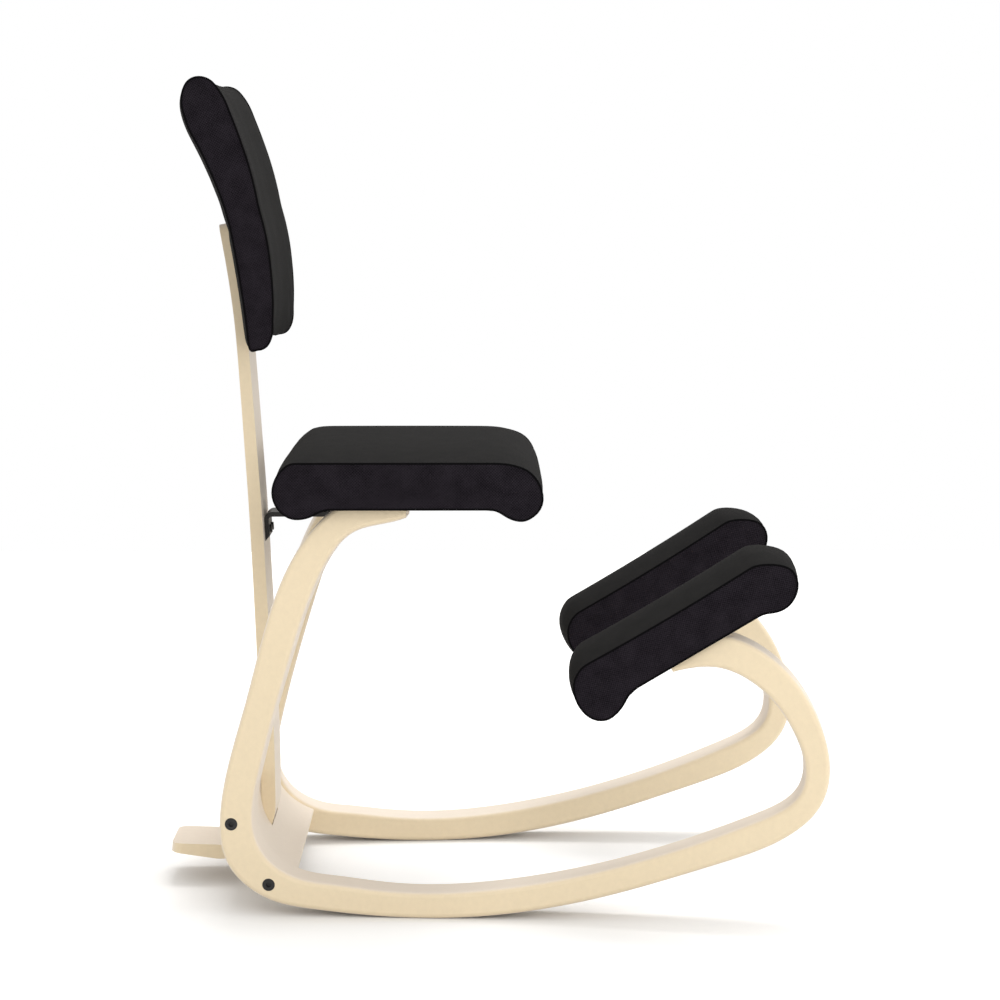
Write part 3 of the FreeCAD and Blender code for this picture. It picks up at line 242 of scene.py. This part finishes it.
# %% Tones of wood
def wood_base(tree, place, veneer, layered):
    """The veneer's colour, turning into the cut layers' colour on faces to the side."""
    facing = add_node(tree, "SeparateXYZ", {0: place.outputs["Normal"]})
    sideways = add_node(tree, "Math", {0: facing.outputs["Y"]}, operation="ABSOLUTE")
    share = add_node(tree, "MapRange", {"Value": sideways.outputs[0],
                                        "From Min": 0.35, "From Max": 0.85})
    return add_node(tree, "Mix", {"Factor": share.outputs[0], "A": veneer, "B": layered},
                    data_type="RGBA")


def wood_shade(tree, place, flecks):
    """A factor close to one: the flecks' small contrast times a wide, faint cloudiness."""
    clouds = add_node(tree, "TexNoise", {"Vector": place.outputs["Object"],
                                         "Scale": 9.0, "Detail": 2.0})
    tone = add_node(tree, "MapRange", {"Value": flecks.outputs["Fac"],
                                       "From Min": 0.3, "From Max": 0.7,
                                       "To Min": 0.975, "To Max": 1.015})
    drift = add_node(tree, "MapRange", {"Value": clouds.outputs["Fac"],
                                        "To Min": 0.975, "To Max": 1.02})
    return add_node(tree, "Math", {0: tone.outputs[0], 1: drift.outputs[0]},
                    operation="MULTIPLY")


# %% Wood material
def wood_material(name, veneer, layered, fleck_size):
    material = bpy.data.materials.new(name)
    material.use_nodes = True
    tree = material.node_tree
    place = add_node(tree, "TexCoord")
    base = wood_base(tree, place, veneer, layered)
    # Flecks are short and fine, like the rays of a pale hardwood.
    stretch = add_node(tree, "Mapping", {"Vector": place.outputs["Object"],
                                         "Scale": (0.35, 1.0, 0.35)})
    flecks = add_node(tree, "TexNoise", {"Vector": stretch.outputs[0], "Scale": fleck_size,
                                         "Detail": 3.0, "Roughness": 0.6})
    shade = wood_shade(tree, place, flecks)
    tint = add_node(tree, "VectorMath", {0: base.outputs["Result"],
                                         "Scale": shade.outputs[0]}, operation="SCALE")
    bump = add_node(tree, "Bump", {"Strength": 0.06, "Distance": 0.0004,
                                   "Height": flecks.outputs["Fac"]})
    fill_inputs(tree, tree.nodes["Principled BSDF"], {
        "Base Color": tint.outputs[0], "Roughness": 0.52, "Specular IOR Level": 0.35,
        "Normal": bump.outputs[0]})
    return material


# %% Dress the wooden parts
def dress(item, material):
    """Give a part of the frame its finish, in every slot it has."""
    if not item.data.materials:
        item.data.materials.append(material)
    for slot in item.material_slots:
        slot.link = "OBJECT"
        slot.material = material


def dress_all(names, material):
    for name in names:
        dress(nodes[name], material)
    print(material.name, "on", len(names), "parts")


pale_wood = wood_material("pale_bent_wood", srgb(236, 224, 209), srgb(232, 215, 184), 420.0)
plywood = wood_material("plywood", srgb(214, 190, 150), srgb(196, 165, 120), 300.0)
dress_all(("runner_left", "runner_right", "rear_crossbar", "back_post"), pale_wood)
dress_all(("seat_board", "knee_board_left", "knee_board_right", "back_board"), plywood)


# %% [markdown]
# ## Steel and foam
# The bracket, its screws and the bolts are black powder-coated or blackened steel. The
# nuts are plain bright steel, and the foam hides in its cover. One recipe serves them
# all: a plain colour, with a fine noise that varies how rough it is and roughens it.

# %% Steel and foam materials
ROUGHNESS_SPREAD = 0.08


def plain_material(name, colour, roughness, metallic, grain, depth, gloss=0.5):
    material = bpy.data.materials.new(name)
    material.use_nodes = True
    tree = material.node_tree
    place = add_node(tree, "TexCoord")
    noise = add_node(tree, "TexNoise", {"Vector": place.outputs["Object"], "Scale": grain,
                                        "Detail": 2.0})
    rough = add_node(tree, "MapRange", {"Value": noise.outputs["Fac"],
                                        "To Min": roughness - ROUGHNESS_SPREAD,
                                        "To Max": roughness + ROUGHNESS_SPREAD})
    bump = add_node(tree, "Bump", {"Strength": 0.2, "Distance": depth,
                                   "Height": noise.outputs["Fac"]})
    fill_inputs(tree, tree.nodes["Principled BSDF"], {
        "Base Color": colour, "Metallic": metallic, "Specular IOR Level": gloss,
        "Roughness": rough.outputs[0], "Normal": bump.outputs[0]})
    return material


# %% Dress the fasteners and the foam
black_steel = plain_material("black_steel", srgb(26, 25, 26), 0.45, 0.0, 1400.0, 0.00012)
bright_steel = plain_material("bright_steel", srgb(176, 174, 170), 0.32, 1.0, 900.0, 0.00005)
foam = plain_material("foam", srgb(222, 212, 186), 0.9, 0.0, 500.0, 0.0008)
dress_all(("support_bracket", "bracket_post_screws", "bracket_seat_screws",
           "crossbar_bolts", "seat_bolts", "knee_bolts", "back_bolts"), black_steel)
dress_all(("crossbar_barrel_nuts", "seat_tee_nuts", "knee_tee_nuts", "back_tee_nuts"),
          bright_steel)
dress_all(("seat_foam", "knee_foam_left", "knee_foam_right", "back_foam"), foam)

# %% [markdown]
# ## Upholstery cloth
# The side panels are a coarse, slightly mottled weave, nearly black with a violet tinge.
# The band is a finer, flatter charcoal cloth. Both are plain weaves: threads pass over
# and under each other, which is the product of two waves in the cloth's own UV metres.
# A little noise makes the threads uneven, a wider one mottles them, and the cloth is
# matt, with next to no gloss.


# %% Threads of a plain weave
def weave(tree, cloth, pitch):
    """Crossing threads, a thread every pitch metres, with some fuzz on them."""
    parts = add_node(tree, "SeparateXYZ", {0: cloth.outputs[0]})
    waves = []
    for axis in ("X", "Y"):
        turn = add_node(tree, "Math", {0: parts.outputs[axis], 1: math.pi / pitch},
                        operation="MULTIPLY")
        waves.append(add_node(tree, "Math", {0: turn.outputs[0]}, operation="SINE"))
    cross = add_node(tree, "Math", {0: waves[0].outputs[0], 1: waves[1].outputs[0]},
                     operation="MULTIPLY")
    fuzz = add_node(tree, "TexNoise", {"Vector": cloth.outputs[0], "Scale": 0.9 / pitch,
                                       "Detail": 3.0})
    return add_node(tree, "Math", {0: cross.outputs[0], 1: 0.34, 2: fuzz.outputs["Fac"]},
                    operation="MULTIPLY_ADD")


# %% Cloth material
def cloth_material(name, dark, light, pitch, relief):
    material = bpy.data.materials.new(name)
    material.use_nodes = True
    tree = material.node_tree
    cloth = add_node(tree, "UVMap", uv_map="cloth")
    threads = weave(tree, cloth, pitch)
    mottle = add_node(tree, "TexNoise", {"Vector": cloth.outputs[0], "Scale": 45.0,
                                         "Detail": 3.0})
    cloudy = add_node(tree, "Math", {0: mottle.outputs["Fac"], 1: 0.7,
                                     2: threads.outputs[0]}, operation="MULTIPLY_ADD")
    share = add_node(tree, "MapRange", {"Value": cloudy.outputs[0],
                                        "From Min": 0.35, "From Max": 1.35})
    colour = add_node(tree, "Mix", {"Factor": share.outputs[0], "A": dark, "B": light},
                      data_type="RGBA")
    bump = add_node(tree, "Bump", {"Strength": 0.55, "Distance": relief,
                                   "Height": threads.outputs[0]})
    fill_inputs(tree, tree.nodes["Principled BSDF"], {
        "Base Color": colour.outputs["Result"], "Roughness": 0.88,
        "Specular IOR Level": 0.03, "Normal": bump.outputs[0]})
    return material


band_cloth = cloth_material("charcoal_band_cloth", srgb(30, 30, 30), srgb(42, 41, 41),
                            0.0008, 0.0001)
panel_cloth = cloth_material("charcoal_panel_cloth", srgb(8, 6, 9), srgb(44, 40, 46),
                             0.0017, 0.0004)
# The seam cord's near-black colour is the seam's own line plus painted shade of its turned-in
# groove.
seam_and_groove_shade = plain_material("seam_and_groove_shade", srgb(10, 9, 11), 0.9, 0.0, 900.0, 0.0002, 0.05)
print("cloths:", band_cloth.name, panel_cloth.name, seam_and_groove_shade.name)

# %% [markdown]
# ## How the cushions are made
# Each cushion is a sewn cover over foam: two side panels of coarse weave, and one smooth
# band that runs all the way round between them. We could remesh the whole solid, but
# that would melt the two seams away. So the cover is sewn in the same way as the real
# one. A flat grid is the side panel, it is extruded step by step across the width, and
# every ring of it is laid on the outline that the CAD cover has at that place.

# %% Weld a copy of a CAD cover
WELD_DISTANCE = 0.00001
SAME_POINT = 1e-6


def merged_copy(node):
    """A welded copy of a node's mesh, in edit-ready form, with its own data."""
    copy = node.copy()
    copy.data = node.data.copy()
    bpy.context.scene.collection.objects.link(copy)
    select_only(copy)
    bpy.ops.object.mode_set(mode="EDIT")
    bpy.ops.mesh.select_all(action="SELECT")
    bpy.ops.mesh.remove_doubles(threshold=WELD_DISTANCE)
    bpy.ops.object.mode_set(mode="OBJECT")
    return copy


# %% [markdown]
# To read an outline, the copy is cut with a plane and the cut edges are followed from
# one to the next. A cover is a shell, so a cut gives an outer and an inner loop, and the
# longest loop is the outer one.


# %% Read an outline
def follow(first, edges):
    """Walk from one cut edge to the next, and give the corners passed and the way's length."""
    chain = [first.verts[0], first.verts[1]]
    length = first.calc_length()
    while True:
        following = [e for e in chain[-1].link_edges if e in edges]
        if not following:
            return chain, length
        edges.discard(following[0])
        length += following[0].calc_length()
        chain.append(following[0].other_vert(chain[-1]))


def outline_at(source, point, normal):
    """The outer outline where a plane cuts the welded copy, as a closed chain of points."""
    cut = bmesh.new()
    cut.from_mesh(source.data)
    everything = cut.verts[:] + cut.edges[:] + cut.faces[:]
    made = bmesh.ops.bisect_plane(cut, geom=everything, plane_co=point, plane_no=normal)
    edges = {e for e in made["geom_cut"] if isinstance(e, bmesh.types.BMEdge)}
    best = []
    best_length = 0.0
    while edges:
        chain, length = follow(edges.pop(), edges)
        if length > best_length:
            best_length = length
            best = [v.co.copy() for v in chain]
    cut.free()
    if (best[0] - best[-1]).length < SAME_POINT:
        best.pop()
    return best


# %% [markdown]
# The outline is split at its four corners into a bottom, a front, a top and a rear run,
# and each run gets the same number of evenly spaced points in every ring. The corner
# search stretches the outline to a square and takes the point furthest out each way.

# %% Spread points evenly along an outline
TINY = 1e-9


def lengths_along(points):
    total = [0.0]
    for a, b in zip(points, points[1:]):
        total.append(total[-1] + (b - a).length)
    return total


def spread(points, count):
    """Points at equal steps along an open chain, ends included."""
    total = lengths_along(points)
    result = []
    at = 0
    for step in range(count + 1):
        wanted = total[-1] * step / count
        while at < len(points) - 2 and total[at + 1] < wanted:
            at += 1
        run = max(total[at + 1] - total[at], TINY)
        result.append(points[at].lerp(points[at + 1], min(1.0, (wanted - total[at]) / run)))
    return result


# %% Find the four corners
def four_corners(points, along, up, reach):
    """The numbers of the corner points: low rear, low front, high front and high rear."""
    spans = []
    for axis in (along, up):
        values = [p.dot(axis) for p in points]
        spans.append((0.5 * (max(values) + min(values)), 0.5 * (max(values) - min(values))))

    def corner(side, level):
        def score(k):
            x = (points[k].dot(along) - spans[0][0]) / spans[0][1]
            z = (points[k].dot(up) - spans[1][0]) / spans[1][1]
            return side * x * reach[0] + level * z * reach[1]
        return max(range(len(points)), key=score)

    return [corner(-1, -1), corner(1, -1), corner(1, 1), corner(-1, 1)]


def four_sides(points, along, up, reach, along_steps, up_steps):
    """Split a closed outline at its four corners into bottom, front, top and rear runs."""
    marks = four_corners(points, along, up, reach)
    count = len(points)
    forward = (marks[1] - marks[0]) % count < (marks[2] - marks[0]) % count
    way = 1 if forward else -1
    sides = []
    for number, steps in enumerate((along_steps, up_steps, along_steps, up_steps)):
        start = marks[number]
        end = marks[(number + 1) % 4]
        passed = (way * (end - start)) % count + 1
        chain = [points[(start + way * k) % count] for k in range(passed)]
        sides.append(spread(chain, steps))
    return sides


# %% [markdown]
# ## Sewing one cover
# The grid starts as a flat unit panel and the extrusions give a unit box. Each vertex of
# that box knows its place by its coordinates: how far along the panel, how far up it and
# how far across the cushion. That place picks a point on the outline of its ring. Inside
# the panel the points are blended from the four edges, which is called a Coons patch.


# %% Lay out the unit cover
def unit_cover(along_steps, up_steps, shares):
    bpy.ops.object.select_all(action="DESELECT")
    bpy.ops.mesh.primitive_grid_add(x_subdivisions=along_steps, y_subdivisions=up_steps,
                                    size=1.0, location=(0.5, 0.5, 0.0))
    cover = bpy.context.object
    bpy.ops.object.transform_apply(location=True, rotation=True, scale=True)
    bpy.ops.object.mode_set(mode="EDIT")
    bpy.ops.mesh.select_all(action="SELECT")
    for before, after in zip(shares, shares[1:]):
        bpy.ops.mesh.extrude_region_move(
            TRANSFORM_OT_translate={"value": (0.0, 0.0, after - before)})
    bpy.ops.object.mode_set(mode="OBJECT")
    return cover


# %% [markdown]
# A plane that only grazes a side panel gives no clean outline, so the two end rings are
# read a little way in and then moved out to the panel. A plump cushion is lifted along
# its top, most in the middle of its width and not at all at the seams.

# %% Read one outline per ring
RING_INSET = 0.0015


def read_rings(source, across, along, up, reach, steps, plump):
    """The four runs of every ring, and where the cover begins and ends across."""
    along_steps, up_steps, across_steps = steps
    sideways = [v.co.dot(across) for v in source.data.vertices]
    low, high = min(sideways), max(sideways)
    rings = []
    for share in [k / across_steps for k in range(across_steps + 1)]:
        place = low + RING_INSET + (high - low - 2 * RING_INSET) * share
        points = outline_at(source, across * place, across)
        rings.append(four_sides(points, along, up, reach, along_steps, up_steps))
        rise = plump * (1 - abs(2 * share - 1) ** 3)
        for side, run in enumerate(rings[-1]):
            for number, point in enumerate(run):
                height = (0.0, number / up_steps, 1.0, 1.0 - number / up_steps)[side]
                point += up * rise * height * height
    for ring, place in ((rings[0], low), (rings[-1], high)):
        for side in ring:
            for point in side:
                point += across * (place - point.dot(across))
    return rings, low, high


def coons_point(ring, u, v):
    """A point of the ring, u of the way along and v of the way up, blended from its runs."""
    bottom, front, top, rear = ring
    i = round(u * (len(bottom) - 1))
    j = round(v * (len(front) - 1))
    b, f = bottom[i], front[j]
    t, r = top[len(bottom) - 1 - i], rear[len(front) - 1 - j]
    flat = (1 - u) * (1 - v) * bottom[0] + u * (1 - v) * bottom[-1] \
        + u * v * top[0] + (1 - u) * v * top[-1]
    return (1 - v) * b + v * t + (1 - u) * r + u * f - flat


# %% [markdown]
# The cover's faces are told apart by their place in the unit box. The two ends are the
# side panels and all else is the band. A UV map in metres is laid down at the same time,
# so the weave keeps one real size: flat on a panel, and unrolled along the band.

# %% Lay the cloth on the cover
EDGE = 1e-4


def band_place(centre, place, runs):
    """How far round the band a corner of a face is, in metres from the low rear edge."""
    if centre.y < EDGE:
        return place.x * runs[0]
    if centre.x > 1 - EDGE:
        return runs[0] + place.y * runs[1]
    if centre.y > 1 - EDGE:
        return runs[0] + runs[1] + (1 - place.x) * runs[2]
    return runs[0] + runs[1] + runs[2] + (1 - place.y) * runs[3]


def lay_cloth(mesh, unit, runs, low, high, along, up):
    """Material slot 0 is the band and slot 1 the two side panels."""
    mesh.materials.append(band_cloth)
    mesh.materials.append(panel_cloth)
    uv = mesh.uv_layers.active or mesh.uv_layers.new(name="cloth")
    uv.name = "cloth"
    for face in mesh.polygons:
        centre = sum((unit[k] for k in face.vertices), Vector()) / len(face.vertices)
        on_panel = centre.z < EDGE or centre.z > 1 - EDGE
        face.material_index = 1 if on_panel else 0
        for loop in face.loop_indices:
            index = mesh.loops[loop].vertex_index
            if on_panel:
                here = mesh.vertices[index].co
                uv.data[loop].uv = (here.dot(along), here.dot(up))
            else:
                place = unit[index]
                uv.data[loop].uv = (band_place(centre, place, runs),
                                    low + (high - low) * place.z)


# %% Sew the cover over the outlines
SEAM_HOLD = 0.9


def sewn_cover(name, source, across, along, up, reach, steps, plump):
    """A closed cover, and the numbers of the vertices that its seams run through."""
    along_steps, up_steps, across_steps = steps
    rings, low, high = read_rings(source, across, along, up, reach, steps, plump)
    shares = [k / across_steps for k in range(across_steps + 1)]
    cover = unit_cover(along_steps, up_steps, shares)
    cover.name = name
    mesh = cover.data
    mesh.name = name
    unit = [v.co.copy() for v in mesh.vertices]
    for vertex, place in zip(mesh.vertices, unit):
        ring = rings[min(across_steps, max(0, round(place.z * across_steps)))]
        vertex.co = coons_point(ring, place.x, place.y)
    runs = [lengths_along(side)[-1] for side in rings[across_steps // 2]]
    lay_cloth(mesh, unit, runs, low, high, along, up)
    select_only(cover)
    bpy.ops.object.mode_set(mode="EDIT")
    bpy.ops.mesh.select_all(action="SELECT")
    bpy.ops.mesh.normals_make_consistent(inside=False)
    bpy.ops.object.mode_set(mode="OBJECT")
    seam = [k for k, place in enumerate(unit)
            if min(place.z, 1 - place.z) < EDGE
            and min(place.x, 1 - place.x, place.y, 1 - place.y) < EDGE]
    cover.vertex_groups.new(name="held").add(seam, SEAM_HOLD, "REPLACE")
    print(name, "faces:", len(mesh.polygons), "width:", round(high - low, 4))
    return cover, seam


# %% [markdown]
# ## Filling it
# The foam presses the cover outwards, so its faces crown between the seams. Blender's
# cloth does that: the seams and the face on the board are held, gravity is off and a
# gentle pressure works for twenty frames. No point may travel further than a few
# millimetres, which keeps the cushion at its real size. Then one subdivision smooths it.

# %% Blow a cover up
COVER_SHRINK = 0.0006
FILL_FRAMES = 20
FILL_SETTINGS = {
    "quality": 6, "mass": 0.3, "tension_stiffness": 12.0, "compression_stiffness": 12.0,
    "bending_stiffness": 0.4, "vertex_group_mass": "held", "use_pressure": True,
    "uniform_pressure_force": 4.0}


def blow_up(cover):
    """Run the cloth simulation on a cover and keep its last frame."""
    cloth = cover.modifiers.new("filling", "CLOTH")
    for setting, value in FILL_SETTINGS.items():
        setattr(cloth.settings, setting, value)
    cloth.settings.effector_weights.gravity = 0.0
    cloth.collision_settings.use_collision = False
    cloth.collision_settings.use_self_collision = False
    cloth.point_cache.frame_start = 1
    cloth.point_cache.frame_end = FILL_FRAMES
    for frame_number in range(1, FILL_FRAMES + 1):
        bpy.context.scene.frame_set(frame_number)
    apply_modifiers(cover)
    bpy.context.scene.frame_set(1)


# %% Fill a cover
def fill_cover(cover, rests, give):
    """Fill a cover; rests(point) says which points lie on the board, give is the cap."""
    select_only(cover)
    bpy.ops.object.mode_set(mode="EDIT")
    bpy.ops.mesh.select_all(action="SELECT")
    bpy.ops.transform.shrink_fatten(value=-COVER_SHRINK)
    bpy.ops.object.mode_set(mode="OBJECT")
    start = [v.co.copy() for v in cover.data.vertices]
    resting = [k for k, point in enumerate(start) if rests(point)]
    if resting:
        cover.vertex_groups["held"].add(resting, 1.0, "REPLACE")
    blow_up(cover)
    mesh = cover.data
    moved = [v.co - home for v, home in zip(mesh.vertices, start)]
    furthest = max(step.length for step in moved)
    for vertex, home, step in zip(mesh.vertices, start, moved):
        if step.length > TINY:
            vertex.co = home + step.normalized() * give * math.tanh(step.length / give)
    print(cover.name, "held at", len(resting), "points, swelled by up to",
          round(furthest * 1000, 1), "mm before the cap")


# %% Smooth a cover
SEAM_CREASE = 0.75
SMOOTH_ANGLE = 52


def smooth_cover(cover, seam):
    """Crease the seams a little, subdivide once and smooth the shading."""
    creases = cover.data.attributes.get("crease_edge") \
        or cover.data.attributes.new("crease_edge", "FLOAT", "EDGE")
    held = set(seam)
    for edge in cover.data.edges:
        if edge.vertices[0] in held and edge.vertices[1] in held:
            creases.data[edge.index].value = SEAM_CREASE
    soften = cover.modifiers.new("soften", "SUBSURF")
    soften.levels = 1
    soften.render_levels = 1
    apply_modifiers(cover)
    select_only(cover)
    bpy.ops.object.shade_smooth_by_angle(angle=math.radians(SMOOTH_ANGLE))


# %% [markdown]
# ## The seams
# Where a side panel meets the band, the two edges are stitched together and turned in,
# which shows as one thin dark line. After the cushion is filled we take the edges
# between the two materials, lift them off as a copy, and give that line a thickness.
# The cord is the seam itself, and its near-black colour also paints the shade in the
# seam's groove.

# %% Seam cords
SEAM_RADIUS = 0.0013


def keep_stitched_edges(mesh):
    """Leave only the edges between the two cloths."""
    line = bmesh.new()
    line.from_mesh(mesh)
    stitched = {edge for edge in line.edges
                if len({face.material_index for face in edge.link_faces}) == 2}
    bmesh.ops.delete(line, geom=line.faces[:], context="FACES_ONLY")
    bmesh.ops.delete(line, geom=[e for e in line.edges if e not in stitched], context="EDGES")
    line.to_mesh(mesh)
    line.free()


def seam_cords(cover, name):
    """A thin dark cord along each of a cover's two seams, as one piece."""
    select_only(cover)
    bpy.ops.object.duplicate()
    cords = bpy.context.object
    keep_stitched_edges(cords.data)
    select_only(cords)
    bpy.ops.object.convert(target="CURVE")
    cords = bpy.context.object
    cords.data.bevel_depth = SEAM_RADIUS
    cords.data.bevel_resolution = 1
    bpy.ops.object.convert(target="MESH")
    cords = bpy.context.object
    cords.name = name
    cords.data.name = name
    cords.data.materials.clear()
    cords.data.materials.append(seam_and_groove_shade)
    bpy.ops.object.shade_smooth()
    print(name, "faces:", len(cords.data.polygons))
    return cords


# %% [markdown]
# ## From cover to finished cushion
# All four cushions go through the same steps. What differs is handed in: the CAD cover
# that is followed, the foam under it, the cushion's own three directions, how many faces
# it has along, up and across, which points rest on something hard, how far the others may
# give, how the corners are searched for and how much the top is plumped up.


# %% Make one cushion of the chair
def make_cushion(name, node_name, foam_name, axes, steps, rests, give,
                 reach=(1.0, 1.0), plump=0.0):
    across, along, up = axes
    source = merged_copy(nodes[node_name])
    cover, seam = sewn_cover(name, source, across, along, up, reach, steps, plump)
    bpy.data.objects.remove(source, do_unlink=True)
    fill_cover(cover, rests, give)
    smooth_cover(cover, seam)
    cords = seam_cords(cover, name + "_seams")
    for piece in (cover, cords):
        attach(piece, "root")
    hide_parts(node_name, foam_name)


# %% [markdown]
# ## The seat
# The seat cushion is about 490 mm wide and 325 mm deep. Its underside lies on a plywood
# board, so that face is held flat, while the top, the ends and the side panels swell.

# %% Seat cushion
X_AXIS = Vector((1.0, 0.0, 0.0))
Y_AXIS = Vector((0.0, 1.0, 0.0))
Z_AXIS = Vector((0.0, 0.0, 1.0))
BOARD_TOUCH = 0.004

board_low, board_high = (Vector(corner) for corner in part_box("seat_board"))


def on_seat_board(point):
    inside = board_low.x < point.x < board_high.x
    return inside and point.z < board_low.z + BOARD_TOUCH


make_cushion("seat_cushion", "seat_cover", "seat_foam", (Y_AXIS, X_AXIS, Z_AXIS),
             (38, 8, 44), on_seat_board, give=0.0040, plump=0.003)

# %% [markdown]
# ## The knee pads
# The two pads stand on the front ends of the runners. They rise towards the front, they
# toe out with the runners, and their tops face very slightly outwards. Their own axes
# are those three turns, worked out once and mirrored for the other side.

# %% Axes of a knee pad
PAD_LEAN = math.radians(-31.2)
PAD_TOE = math.radians(3.42)
PAD_ROLL = math.radians(-2.3)


def pad_axes(side):
    """Across, along and up on one pad; side is 1 for the left and -1 for the right."""
    turn = Matrix.Rotation(side * PAD_TOE, 3, "Z") @ Matrix.Rotation(PAD_LEAN, 3, "Y") \
        @ Matrix.Rotation(side * PAD_ROLL, 3, "X")
    return turn @ Y_AXIS, turn @ X_AXIS, turn @ Z_AXIS


print("left pad faces", [round(value, 3) for value in pad_axes(1)[2]])


# %% Knee pads
def knee_pad(side_name, side):
    across, along, up = pad_axes(side)
    board = [v.co for v in nodes["knee_board_" + side_name].data.vertices]
    level = min(point.dot(up) for point in board)
    near = min(point.dot(along) for point in board)
    far = max(point.dot(along) for point in board)

    def on_knee_board(point):
        return near < point.dot(along) < far and point.dot(up) < level + BOARD_TOUCH

    make_cushion("knee_pad_" + side_name, "knee_cover_" + side_name,
                 "knee_foam_" + side_name, (across, along, up), (34, 8, 18),
                 on_knee_board, give=0.0032, plump=0.0055)


knee_pad("left", 1)
knee_pad("right", -1)

# %% [markdown]
# ## The backrest
# The backrest cushion is a tall curved pad, deepest at the small of the back. It is made
# in the same way, with its long direction running up the chair. Its lower rear face is
# pressed against the lath, and there it stays as it is. The lath is curved, so the place
# of its front face is looked up for each height. The corners of this outline are at its
# two ends, and a reach of three to one makes the search prefer the ends.

# %% Where the lath supports the backrest
BACK_LEAN = math.radians(14.5)
BACK_UP = Vector((-math.sin(BACK_LEAN), 0.0, math.cos(BACK_LEAN)))
BACK_REARWARD = -Vector((math.cos(BACK_LEAN), 0.0, math.sin(BACK_LEAN)))
LATH_HALF_REACH = 0.06
LATH_TOUCH = 0.006
UPPER_LATH = 0.6
SAME_HEIGHT = 0.025

lath_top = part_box("back_post")[1][2]
lath_points = [v.co.copy() for v in nodes["back_post"].data.vertices if v.co.z > UPPER_LATH]


def lath_face(height):
    """How far forward the lath's front face is at a height."""
    near = [p.x for p in lath_points if abs(p.z - height) < SAME_HEIGHT]
    return max(near) if near else -1.0


def on_lath(point):
    behind = abs(point.y) < LATH_HALF_REACH and point.z < lath_top
    return behind and point.x < lath_face(point.z) + LATH_TOUCH


# %% Back cushion
make_cushion("back_cushion", "back_cover", "back_foam", (Y_AXIS, BACK_UP, BACK_REARWARD),
             (38, 8, 36), on_lath, give=0.0040, reach=(3.0, 1.0))
